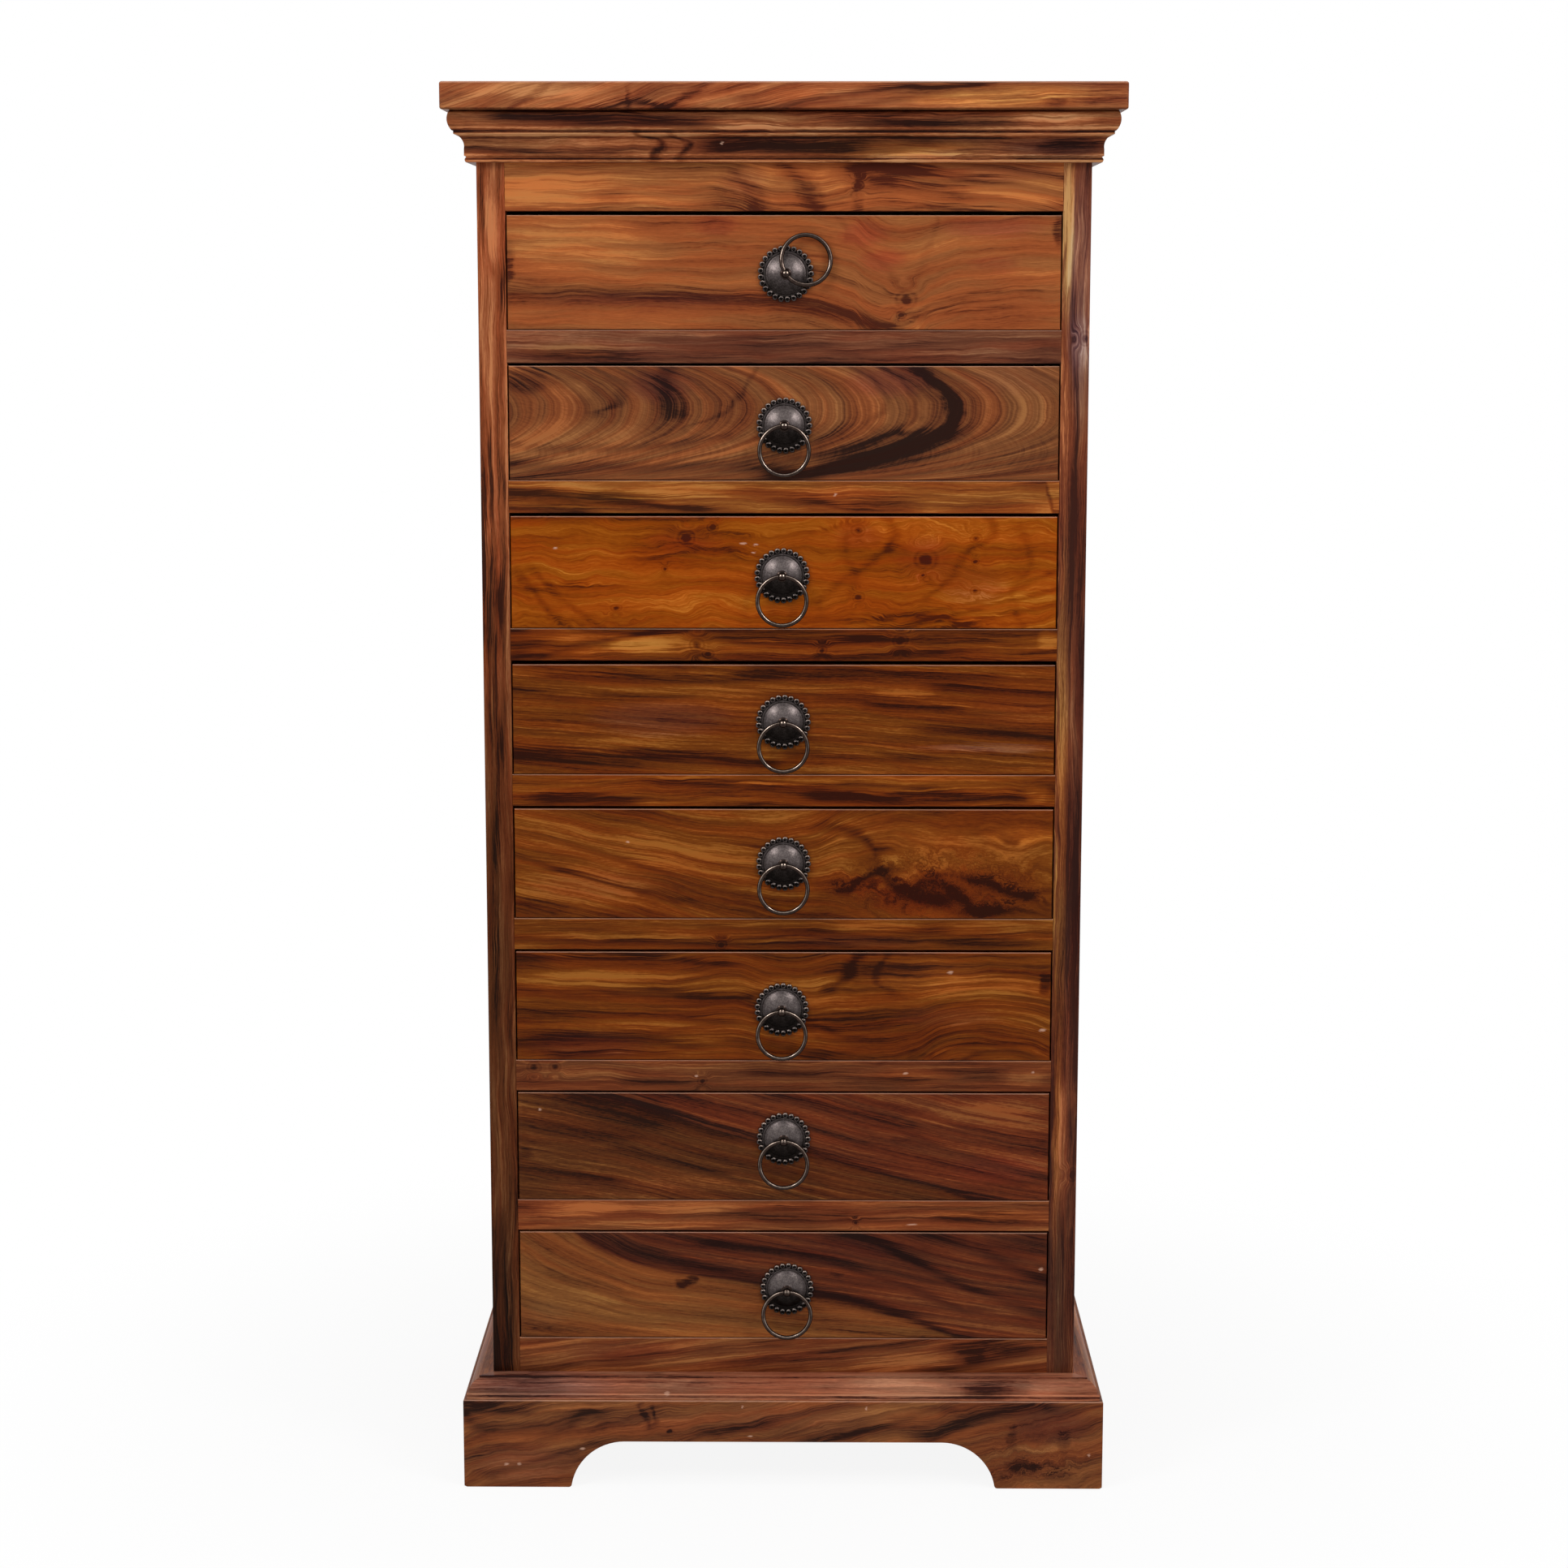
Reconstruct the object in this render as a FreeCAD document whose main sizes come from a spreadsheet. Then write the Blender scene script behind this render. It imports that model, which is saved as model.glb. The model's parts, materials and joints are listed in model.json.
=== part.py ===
import FreeCAD
import Part
import Sketcher
import math
import os

# A semainier: a tall, narrow chest of eight drawers in solid hardwood. Four posts and
# the rails between them make the carcass, a moulded cornice and a top board finish it
# above, and skirt boards with arches make its feet. Each drawer has an iron ring pull.
# Frame: millimetres, X to the right, -Y to the front, +Z up, origin on the floor below
# the middle of the top board. Drawers are numbered from the top.

SIZES = [
    # Top board.
    ("top_width", 600, "top board, side to side"),
    ("top_depth", 400, "top board, front to back"),
    ("top_thickness", 24, "top board"),
    ("top_overhang", 28.5, "top board past the body, at the front and sides"),
    ("top_easing", 2.2, "round on the top board's front and side edges"),
    # Heights of the front, from the floor up.
    ("skirt_height", 84.5, "skirt boards"),
    ("base_rail_height", 33, "base rail, as seen above the base moulding"),
    ("opening_height", 104, "opening for one drawer"),
    ("rail_height", 29.2, "rail between two drawers"),
    ("frieze_height", 86.6, "frieze rail, from the top opening to the top board"),
    # Carcass frame.
    ("post_width", 25, "post, across the front"),
    ("post_depth", 40, "post, front to back"),
    ("rail_depth", 38, "drawer rail and base rail, front to back"),
    ("frieze_thickness", 28, "frieze rail, front to back"),
    ("edge_easing", 0.9, "round on the edges of posts and rails"),
    ("tenon_length", 14, "tenon of a front or rear rail, in its post"),
    ("tenon_setback", 13, "face of a front rail to its tenon"),
    ("tenon_thickness", 12, "tenon"),
    ("tenon_shoulder", 4, "shoulder above and below a front rail's tenon"),
    ("mortise_room", 1, "mortise past the end of its tenon"),
    ("side_rail_height", 60, "middle rail of a side, and top rear rail"),
    ("bottom_side_rail_height", 82, "bottom rail of a side"),
    ("top_side_rail_height", 82, "top rail of a side"),
    ("side_tenon_length", 11, "tenon of a side rail, in its post"),
    ("side_tenon_setback", 7, "outer face of a side rail to its tenon"),
    ("side_tenon_shoulder", 12, "shoulder above and below a side rail's tenon"),
    ("panel_thickness", 10, "side panel"),
    ("panel_recess", 12, "outer face of a side to its panel"),
    ("panel_tongue", 8, "panel edge held in its groove"),
    ("rear_rail_thickness", 16, "rear rails"),
    ("rear_tenon_setback", 4, "back of a rear rail to its tenon"),
    ("rear_tenon_thickness", 8, "tenon of a rear rail"),
    ("back_thickness", 6, "back panel"),
    ("back_play", 0.5, "back panel short of the top board"),
    # Drawer running gear.
    ("runner_width", 20, "drawer runner, across"),
    ("runner_height", 20, "drawer runner"),
    ("stop_width", 30, "drawer stop, across"),
    ("stop_depth", 12, "drawer stop, front to back"),
    ("stop_height", 5, "drawer stop"),
    ("stop_spread", 150, "middle of the chest to a drawer stop's centre"),
    # Blocks that hold the top board.
    ("block_length", 40, "top block, along its rail"),
    ("block_side", 20, "top block, its other two sides"),
    ("block_spread", 120, "middle of the chest to a front top block's centre"),
    ("side_block_shift", 60, "middle of the depth to a side top block's centre"),
    # Skirt boards and their arches.
    ("skirt_thickness", 26, "skirt boards, planted on the posts"),
    ("skirt_easing", 1.5, "round on a skirt's upper edge"),
    ("foot_width", 100, "foot, from the end of a skirt to its arch"),
    ("foot_corner", 3, "round on the lower corners of the feet"),
    ("arch_rise", 44.6, "crown of an arch above the floor"),
    ("arch_run", 50, "foot to the start of the level crown"),
    # Base moulding, from its foot up.
    ("base_fillet_reach", 23, "lower fillet, out from the body"),
    ("base_fillet_height", 6, "lower fillet"),
    ("base_step", 2, "step in above the lower fillet"),
    ("base_ovolo_height", 11, "ovolo"),
    ("base_ovolo_radius", 11, "ovolo's curve"),
    ("base_top_reach", 12, "upper fillet, out from the body"),
    ("base_top_height", 2, "upper fillet"),
    # Cornice, from the top board down.
    ("cornice_reach", 20.5, "head of the bead, out from the body"),
    ("bead_height", 17.5, "bead"),
    ("bead_foot", 19, "foot of the bead, out from the body"),
    ("bead_radius", 14.2, "bead's curve"),
    ("fillet_reach", 17.8, "fillet under the bead, out from the body"),
    ("fillet_height", 3, "fillet under the bead"),
    ("cove_head", 16.8, "head of the cove, out from the body"),
    ("cove_height", 12.5, "cove"),
    ("cove_radius", 11, "cove's curve"),
    ("neck_reach", 9.5, "neck under the cove, out from the body"),
    ("neck_height", 6, "neck under the cove"),
    ("quirk_reach", 8, "quirk under the neck, out from the body"),
    ("quirk_height", 1.3, "quirk under the neck"),
    ("astragal_height", 4.2, "small bead at the foot"),
    ("astragal_radius", 2.7, "small bead's curve"),
    # Drawers.
    ("drawer_depth", 345, "drawer, front to back"),
    ("drawer_side_gap", 1.2, "drawer to each post"),
    ("drawer_under_gap", 0.4, "drawer above its rail and runners"),
    ("front_thickness", 20, "drawer front"),
    ("front_easing", 1.1, "round on the face edges of a drawer front"),
    ("front_lap", 8, "wood left in front of a drawer side's end"),
    ("side_height", 84, "drawer side"),
    ("side_thickness", 12, "drawer side and drawer back"),
    ("back_drop", 5, "drawer back below the top of the sides"),
    ("bottom_thickness", 5, "drawer bottom"),
    ("bottom_lift", 8, "drawer bottom above the foot of the sides"),
    ("bottom_tongue", 4, "edge of the bottom held in its groove"),
    # Ring pulls.
    ("rosette_radius", 22, "plate of a rosette, inside its beads"),
    ("rosette_thickness", 1.8, "plate of a rosette"),
    ("rosette_groove", 1.2, "width of the groove around the dome"),
    ("rosette_groove_depth", 0.7, "depth of that groove"),
    ("dome_radius", 17.6, "dome, at its foot"),
    ("dome_height", 7, "dome"),
    ("dome_curve", 32, "radius of the dome's curve"),
    ("bead_size", 2.45, "radius of a bead on the rim"),
    ("bead_circle", 22.5, "radius of the circle of beads"),
    ("bolt_radius", 2, "shank of an eyebolt"),
    ("bolt_play", 0.5, "shank to its hole"),
    ("bolt_end", 1.5, "shank past its nut"),
    ("collar_radius", 5.2, "collar on the dome, at its foot"),
    ("collar_top", 4, "collar, at its head"),
    ("collar_height", 1, "collar"),
    ("eye_reach", 11, "drawer face to the middle of the eye"),
    ("eye_radius", 3.9, "ball of the eye"),
    ("eye_bore", 2.7, "radius of the hole through the ball"),
    ("ring_radius", 22, "ring, at the middle of its wire"),
    ("wire_radius", 2, "ring's wire"),
    ("washer_radius", 6.5, "washer behind a drawer front"),
    ("washer_thickness", 1.2, "washer"),
    ("nut_radius", 4.6, "nut, across its corners, halved"),
    ("nut_height", 3.2, "nut"),
]

# What differs from drawer to drawer in a chest fitted by hand, from the top down: the gap
# over the front in mm, the pull's shift to the right and its lift from the middle of the
# front in mm, how far the pull has turned in degrees, and how far its ring leans back from
# hanging square to the front in degrees.
DRAWERS = [
    (3.4, 1.8, -1, 124, 11),
    (2.2, 0.5, -2, 0, 0),
    (2.8, -1.4, -2.7, 0, 0),
    (3.4, -0.3, -2, 0, 0),
    (2.4, 0, 0.4, 0, 0),
    (2.0, -1.5, -2.8, 0, 0),
    (1.6, 0.3, 7.7, 0, 0),
    (1.6, 3.5, -3.2, 0, 0),
]
BEAD_COUNT = 25

doc = FreeCAD.newDocument("semainier")
sheet = doc.addObject("Spreadsheet::Sheet", "sizes")


def fill_sheet():
    """Write each driving size in a row of its own: its name, its value and what it is."""
    rows = list(SIZES)
    for number, (gap, shift, lift, turn, lean) in enumerate(DRAWERS, 1):
        rows.append((f"gap_over_{number}", gap, f"gap over drawer front {number}"))
        rows.append((f"pull_shift_{number}", shift, f"pull {number} to the right of the middle"))
        rows.append((f"pull_lift_{number}", lift, f"pull {number} above the middle of its front"))
        rows.append((f"pull_turn_{number}", turn, f"turn of pull {number}, degrees"))
        rows.append((f"ring_lean_{number}", lean, f"backward lean of ring {number}, degrees"))
    for row, (alias, value, meaning) in enumerate(rows, 1):
        sheet.set(f"A{row}", alias)
        sheet.set(f"B{row}", str(value))
        sheet.set(f"C{row}", meaning)
        sheet.setAlias(f"B{row}", alias)
    doc.recompute()


class Size:
    """A length that knows its value and the sheet formula that it comes from."""

    def __init__(self, value, formula):
        self.value = float(value)
        self.formula = formula

    def __add__(self, other):
        other = as_size(other)
        return Size(self.value + other.value, f"({self.formula} + {other.formula})")

    def __sub__(self, other):
        other = as_size(other)
        return Size(self.value - other.value, f"({self.formula} - {other.formula})")

    def __mul__(self, other):
        other = as_size(other)
        return Size(self.value * other.value, f"({self.formula} * {other.formula})")

    def __truediv__(self, other):
        other = as_size(other)
        return Size(self.value / other.value, f"({self.formula} / {other.formula})")

    def __neg__(self):
        return Size(-self.value, f"(0 - {self.formula})")

    __radd__ = __add__
    __rmul__ = __mul__


def as_size(length):
    """A plain number as a Size, and a Size as it is."""
    if isinstance(length, Size):
        return length
    return Size(length, f"({length})")


class Sheet:
    """Reads a driving size by its alias, as an attribute."""

    def __getattr__(self, alias):
        return Size(sheet.get(alias), f"sizes.{alias}")


fill_sheet()
dim = Sheet()

# Derived places. "body" is the carcass without its mouldings, skirt and top board.
body_half = dim.top_width / 2 - dim.top_overhang
body_front = dim.top_overhang - dim.top_depth / 2
body_back = dim.top_depth / 2
opening_half = body_half - dim.post_width
front_post_back = body_front + dim.post_depth
rear_post_front = body_back - dim.post_depth
front_rail_back = body_front + dim.rail_depth

base_moulding_height = dim.base_fillet_height + dim.base_ovolo_height + dim.base_top_height
cornice_height = (dim.bead_height + dim.fillet_height + dim.cove_height + dim.neck_height
                  + dim.quirk_height + dim.astragal_height)
first_floor = dim.skirt_height + base_moulding_height + dim.base_rail_height
drawer_pitch = dim.opening_height + dim.rail_height
frieze_foot = first_floor + len(DRAWERS) * dim.opening_height + (len(DRAWERS) - 1) * dim.rail_height
body_top = frieze_foot + dim.frieze_height
chest_top = body_top + dim.top_thickness

back_panel_back = body_back - dim.rear_rail_thickness
back_panel_front = back_panel_back - dim.back_thickness
runner_inner = opening_half - dim.runner_width
panel_outer = body_half - dim.panel_recess
panel_inner = panel_outer - dim.panel_thickness

drawer_half = opening_half - dim.drawer_side_gap
front_back = body_front + dim.front_thickness
drawer_back = body_front + dim.drawer_depth
side_inner = drawer_half - dim.side_thickness

parts = {}


def node(name, thing):
    """Name one finished sub-part; its label names its file."""
    thing.Label = name
    parts[name] = thing


def bind(thing, prop, length):
    """Tie one property of an object to the sheet."""
    thing.setExpression(prop, as_size(length).formula)


def place(thing, base, rotation):
    """Put an object at a place that follows the sheet, turned by a fixed rotation."""
    thing.Placement = FreeCAD.Placement(FreeCAD.Vector(), rotation)
    for axis, start in zip("xyz", base):
        bind(thing, f"Placement.Base.{axis}", start)
    return thing


def box(name, low, high):
    """A plain board between two corners."""
    block = doc.addObject("Part::Box", name)
    for side, axis, start, end in zip(("Length", "Width", "Height"), "xyz", low, high):
        bind(block, side, as_size(end) - start)
        bind(block, f"Placement.Base.{axis}", start)
    return block


def cylinder(name, radius, length, base=(0, 0, 0), rotation=FreeCAD.Rotation()):
    """A round bar that starts at base and runs along its own Z."""
    bar = doc.addObject("Part::Cylinder", name)
    bind(bar, "Radius", radius)
    bind(bar, "Height", length)
    return place(bar, base, rotation)


def compound(name, things):
    """Several separate solids held as one object."""
    group = doc.addObject("Part::Compound", name)
    group.Links = things
    return group


def fuse(name, things):
    joined = doc.addObject("Part::MultiFuse", name)
    joined.Shapes = things
    return joined


def cut(name, base, tools):
    """Cut every tool out of the base."""
    result = doc.addObject("Part::Cut", name)
    result.Base = base
    result.Tool = tools[0] if len(tools) == 1 else compound(f"{name}_tools", tools)
    return result


def origin_feature(body, role):
    """One of a body's own origin planes or axes."""
    for feature in body.Origin.OriginFeatures:
        if feature.Role == role:
            return feature
    raise ValueError(role)


def plane_sketch(body, name, role, offset=0):
    """An empty sketch on one of the body's own planes, moved along its normal."""
    sketch = body.newObject("Sketcher::SketchObject", name)
    sketch.AttachmentSupport = (origin_feature(body, role), [""])
    sketch.MapMode = "FlatFace"
    bind(sketch, "AttachmentOffset.Base.z", offset)
    return sketch


def arc_between(start, end, radius, clockwise):
    """The arc of less than half a turn from start to end, as the sketcher wants it."""
    chord = end - start
    half = chord.Length / 2
    normal = FreeCAD.Vector(chord.y, -chord.x, 0) if clockwise else FreeCAD.Vector(-chord.y, chord.x, 0)
    normal.normalize()
    centre = start + chord / 2 + normal * math.sqrt(max(radius ** 2 - half ** 2, 0))
    first, last = (end, start) if clockwise else (start, end)
    first_angle = math.atan2(first.y - centre.y, first.x - centre.x)
    last_angle = math.atan2(last.y - centre.y, last.x - centre.x)
    circle = Part.Circle(centre, FreeCAD.Vector(0, 0, 1), radius)
    return Part.ArcOfCircle(circle, first_angle, last_angle)


def draw_outline(sketch, corners):
    """Draw a closed outline, with every corner and every radius tied to the sheet.

    A corner is (across, up) and is reached by a straight line from the one before, or
    (across, up, radius, way) and is reached by an arc, clockwise where way is -1.
    """
    points = [FreeCAD.Vector(as_size(c[0]).value, as_size(c[1]).value, 0) for c in corners]
    joints = []
    for index, corner in enumerate(corners):
        start, end = points[index - 1], points[index]
        if len(corner) == 2:
            line = sketch.addGeometry(Part.LineSegment(start, end))
            joints.append((line, 1, 2))
            continue
        radius, way = as_size(corner[2]), corner[3]
        arc = sketch.addGeometry(arc_between(start, end, radius.value, way < 0))
        joints.append((arc, 2, 1) if way < 0 else (arc, 1, 2))
        rule = sketch.addConstraint(Sketcher.Constraint("Radius", arc, radius.value))
        sketch.setExpression(f"Constraints[{rule}]", radius.formula)
    for index, corner in enumerate(corners):
        piece, end = joints[index][0], joints[index][2]
        after = joints[(index + 1) % len(corners)]
        sketch.addConstraint(Sketcher.Constraint("Coincident", piece, end, after[0], after[1]))
        for kind, length in zip(("DistanceX", "DistanceY"), corner):
            length = as_size(length)
            rule = sketch.addConstraint(Sketcher.Constraint(kind, -1, 1, piece, end, length.value))
            sketch.setExpression(f"Constraints[{rule}]", length.formula)


def pad(body, name, sketch, length):
    feature = body.newObject("PartDesign::Pad", name)
    feature.Profile = sketch
    bind(feature, "Length", length)
    doc.recompute()
    return feature


def edges_on(shape, **planes):
    """Names of the edges that lie in all the given planes, such as y=front, z=top."""
    found = []
    for number, edge in enumerate(shape.Edges, 1):
        lies = True
        for axis, level in planes.items():
            level = as_size(level).value
            lies = lies and all(abs(getattr(v.Point, axis) - level) < 1e-4 for v in edge.Vertexes)
        if lies:
            found.append(f"Edge{number}")
    if not found:
        raise ValueError(f"no edge on {sorted(planes)}")
    return found


def ease(body, name, feature, radius, edge_names):
    """Round the named edges of a body's last feature."""
    rounds = body.newObject("PartDesign::Fillet", name)
    rounds.Base = (feature, sorted(set(edge_names)))
    bind(rounds, "Radius", radius)
    body.Tip = rounds
    doc.recompute()
    return rounds


def eased_board(name, low, high, lines, radius):
    """A board between two corners, with the edges that lie on the given lines eased."""
    body = doc.addObject("PartDesign::Body", name)
    sketch = plane_sketch(body, f"{name}_plan", "XY_Plane", low[2])
    draw_outline(sketch, [(low[0], low[1]), (high[0], low[1]), (high[0], high[1]), (low[0], high[1])])
    blank = pad(body, f"{name}_blank", sketch, as_size(high[2]) - low[2])
    edge_names = []
    for line in lines:
        edge_names += edges_on(blank.Shape, **line)
    ease(body, f"{name}_easing", blank, radius, edge_names)
    return body


def mirrored(name, source):
    """The left-hand twin of a right-hand piece."""
    twin = doc.addObject("Part::Mirroring", name)
    twin.Source = source
    twin.Normal = FreeCAD.Vector(1, 0, 0)
    return twin


# ---------------------------------------------------------------- top board
def make_top_board():
    low = (-dim.top_width / 2, -dim.top_depth / 2, body_top)
    high = (dim.top_width / 2, dim.top_depth / 2, chest_top)
    lines = []
    for level in (body_top, chest_top):
        lines.append({"y": low[1], "z": level})
        lines.append({"x": low[0], "z": level})
        lines.append({"x": high[0], "z": level})
    lines.append({"x": low[0], "y": low[1]})
    lines.append({"x": high[0], "y": low[1]})
    node("top_board", eased_board("top_board", low, high, lines, dim.top_easing))


# ---------------------------------------------------------------- mouldings and skirts
def cornice_profile():
    """Corners as (inward, up) from the body's face and the foot of the top board."""
    levels = [as_size(0)]
    for drop in ("bead_height", "fillet_height", "cove_height", "neck_height",
                 "quirk_height", "astragal_height"):
        levels.append(levels[-1] - getattr(dim, drop))
    head, bead, fillet, cove, neck, quirk, foot = levels
    return [
        (0, foot),
        (0, head),
        (-dim.cornice_reach, head),
        (-dim.bead_foot, bead, dim.bead_radius, 1),
        (-dim.fillet_reach, bead),
        (-dim.fillet_reach, fillet),
        (-dim.cove_head, fillet),
        (-dim.neck_reach, cove, dim.cove_radius, -1),
        (-dim.neck_reach, neck),
        (-dim.quirk_reach, neck),
        (-dim.quirk_reach, quirk),
        (-dim.quirk_reach, foot, dim.astragal_radius, 1),
    ]


def base_profile():
    """Corners as (inward, up) from the body's face and the top of the skirt."""
    step = dim.base_fillet_height
    shoulder = step + dim.base_ovolo_height
    return [
        (0, 0),
        (0, base_moulding_height),
        (-dim.base_top_reach, base_moulding_height),
        (-dim.base_top_reach, shoulder),
        (dim.base_step - dim.base_fillet_reach, step, dim.base_ovolo_radius, 1),
        (-dim.base_fillet_reach, step),
        (-dim.base_fillet_reach, 0),
    ]


def profile_run(name, profile, low, high):
    """A moulding run straight along X, its back on the plane y = 0."""
    body = doc.addObject("PartDesign::Body", name)
    sketch = plane_sketch(body, f"{name}_profile", "YZ_Plane", low)
    draw_outline(sketch, profile)
    pad(body, f"{name}_pad", sketch, high - low)
    return body


def skirt_run(name, low, high):
    """A skirt board along X with an arch between its two feet, its back on y = 0."""
    corner = dim.foot_corner
    crown_radius = (dim.arch_run * dim.arch_run + dim.arch_rise * dim.arch_rise) / (2 * dim.arch_rise)
    low_foot = low + dim.foot_width
    high_foot = high - dim.foot_width
    body = doc.addObject("PartDesign::Body", name)
    sketch = plane_sketch(body, f"{name}_outline", "XZ_Plane")
    draw_outline(sketch, [
        (low + corner, 0, corner, 1),
        (low_foot, 0),
        (low_foot + dim.arch_run, dim.arch_rise, crown_radius, -1),
        (high_foot - dim.arch_run, dim.arch_rise),
        (high_foot, 0, crown_radius, -1),
        (high - corner, 0),
        (high, corner, corner, 1),
        (high, dim.skirt_height),
        (low, dim.skirt_height),
        (low, corner),
    ])
    blank = pad(body, f"{name}_blank", sketch, dim.skirt_thickness)
    feet = edges_on(blank.Shape, x=low_foot, z=0) + edges_on(blank.Shape, x=high_foot, z=0)
    rounded = ease(body, f"{name}_feet", blank, corner, feet)
    top_edge = edges_on(rounded.Shape, y=-dim.skirt_thickness, z=dim.skirt_height)
    ease(body, f"{name}_easing", rounded, dim.skirt_easing, top_edge)
    return body


def mitred(name, run, low, high, mitres, foot, height, reach):
    """Keep what lies over a plan whose ends slope outward at 45 degrees where mitred."""
    plan = doc.addObject("PartDesign::Body", f"{name}_plan")
    sketch = plane_sketch(plan, f"{name}_plan_outline", "XY_Plane", foot)
    draw_outline(sketch, [
        (low, 0),
        (low - reach * mitres[0], -reach),
        (high + reach * mitres[1], -reach),
        (high, 0),
    ])
    pad(plan, f"{name}_plan_pad", sketch, height)
    kept = doc.addObject("Part::Common", name)
    kept.Base = run
    kept.Tool = plan
    return kept


def make_trim(front_name, sides_name, make_run, level, foot, height, reach):
    """A front length with two mitres and a pair of side lengths mitred at the front."""
    low, high = -body_half - reach, body_half + reach
    run = make_run(f"{front_name}_run", low, high)
    front = mitred(front_name, run, -body_half, body_half, (1, 1), foot, height, reach)
    node(front_name, place(front, (0, body_front, level), FreeCAD.Rotation()))

    low, high = body_front - reach, body_back
    run = make_run(f"{sides_name}_run", low, high)
    side = mitred(f"{sides_name}_right", run, body_front, body_back, (1, 0), foot, height, reach)
    place(side, (body_half, 0, level), FreeCAD.Rotation(FreeCAD.Vector(0, 0, 1), 90))
    node(sides_name, compound(sides_name, [side, mirrored(f"{sides_name}_left", side)]))


def make_cornice():
    def run(name, low, high):
        return profile_run(name, cornice_profile(), low, high)
    reach = dim.cornice_reach + dim.bead_height / 2
    make_trim("cornice_front", "cornice_sides", run, body_top, -cornice_height, cornice_height, reach)


def make_base_moulding():
    def run(name, low, high):
        return profile_run(name, base_profile(), low, high)
    make_trim("base_moulding_front", "base_moulding_sides", run, dim.skirt_height, 0,
              base_moulding_height, dim.base_fillet_reach)


def make_skirt():
    make_trim("skirt_front", "skirt_sides", skirt_run, 0, 0, dim.skirt_height, dim.skirt_thickness)


# ---------------------------------------------------------------- carcass frame
def front_rail(name, foot, head, depth):
    """A rail between the front posts, with its front edges eased and a tenon at each end."""
    low = (-opening_half, body_front, foot)
    high = (opening_half, body_front + depth, head)
    lines = [{"y": body_front, "z": foot}, {"y": body_front, "z": head}]
    bar = eased_board(f"{name}_bar", low, high, lines, dim.edge_easing)
    tenon = front_tenon(f"{name}_tenon", foot, head, dim.tenon_length)
    return fuse(name, [bar, tenon, mirrored(f"{name}_left_tenon", tenon)])


def front_tenon(name, foot, head, length):
    """The right-hand tenon of a front rail, or with a greater length its mortise."""
    near = body_front + dim.tenon_setback
    low = (opening_half, near, foot + dim.tenon_shoulder)
    high = (opening_half + length, near + dim.tenon_thickness, head - dim.tenon_shoulder)
    return box(name, low, high)


def rail_levels():
    """Foot and head of every rail of the front, by name."""
    levels = {"base_rail": (dim.skirt_height, first_floor)}
    for step in range(1, len(DRAWERS)):
        head = first_floor + step * drawer_pitch
        levels[f"drawer_rail_{step}"] = (head - dim.rail_height, head)
    levels["frieze_rail"] = (frieze_foot, body_top)
    return levels


def side_rail_levels():
    """Foot and head of the three rails of a side, from the bottom up."""
    middle = (first_floor + body_top) / 2
    half = dim.side_rail_height / 2
    return [
        (dim.skirt_height, dim.skirt_height + dim.bottom_side_rail_height),
        (middle - half, middle + half),
        (body_top - dim.top_side_rail_height, body_top),
    ]


def rear_rail_levels():
    """Foot and head of the two rails of the back."""
    return [
        (dim.arch_rise, first_floor),
        (body_top - dim.side_rail_height, body_top),
    ]


def side_tenons(name, foot, head, length):
    """Tenons of a right-hand side rail at its two ends, or its mortises."""
    outer = body_half - dim.side_tenon_setback
    low = (outer - dim.tenon_thickness, front_post_back - length, foot + dim.side_tenon_shoulder)
    high = (outer, front_post_back, head - dim.side_tenon_shoulder)
    front = box(f"{name}_front_tenon", low, high)
    low = (low[0], rear_post_front, low[2])
    high = (high[0], rear_post_front + length, high[2])
    return front, box(f"{name}_rear_tenon", low, high)


def rear_tenon(name, foot, head, length):
    """The right-hand tenon of a rear rail, or its mortise."""
    back = body_back - dim.rear_tenon_setback
    low = (opening_half, back - dim.rear_tenon_thickness, foot + dim.tenon_shoulder)
    high = (opening_half + length, back, head - dim.tenon_shoulder)
    return box(name, low, high)


def panel_box(name, foot, head):
    """A right-hand side panel, with its tongues in the posts and rails around it."""
    tongue = dim.panel_tongue
    low = (panel_inner, front_post_back - tongue, foot - tongue)
    high = (panel_outer, rear_post_front + tongue, head + tongue)
    return box(name, low, high)


def panel_spans():
    """Foot and head of the space for each panel of a side."""
    levels = side_rail_levels()
    return [(below[1], above[0]) for below, above in zip(levels, levels[1:])]


def make_posts():
    mortise = dim.tenon_length + dim.mortise_room
    side_mortise = dim.side_tenon_length + dim.mortise_room
    front_cuts, rear_cuts = [], []
    for name, (foot, head) in rail_levels().items():
        front_cuts.append(front_tenon(f"{name}_mortise", foot, head, mortise))
    for number, (foot, head) in enumerate(side_rail_levels(), 1):
        front, rear = side_tenons(f"side_rail_{number}_mortise", foot, head, side_mortise)
        front_cuts.append(front)
        rear_cuts.append(rear)
    for number, (foot, head) in enumerate(rear_rail_levels(), 1):
        rear_cuts.append(rear_tenon(f"rear_rail_{number}_mortise", foot, head, mortise))
    for number, (foot, head) in enumerate(panel_spans(), 1):
        front_cuts.append(panel_box(f"front_post_groove_{number}", foot, head))
        rear_cuts.append(panel_box(f"rear_post_groove_{number}", foot, head))

    low, high = (opening_half, body_front, 0), (body_half, front_post_back, body_top)
    lines = [{"x": body_half, "y": body_front}, {"x": opening_half, "y": body_front}]
    blank = eased_board("front_post_blank", low, high, lines, dim.edge_easing)
    right = cut("front_post_right", blank, front_cuts)
    node("front_posts", compound("front_posts", [right, mirrored("front_post_left", right)]))

    low, high = (opening_half, rear_post_front, 0), (body_half, body_back, body_top)
    blank = eased_board("rear_post_blank", low, high, [{"x": body_half, "y": body_back}], dim.edge_easing)
    right = cut("rear_post_right", blank, rear_cuts)
    node("rear_posts", compound("rear_posts", [right, mirrored("rear_post_left", right)]))


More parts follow.
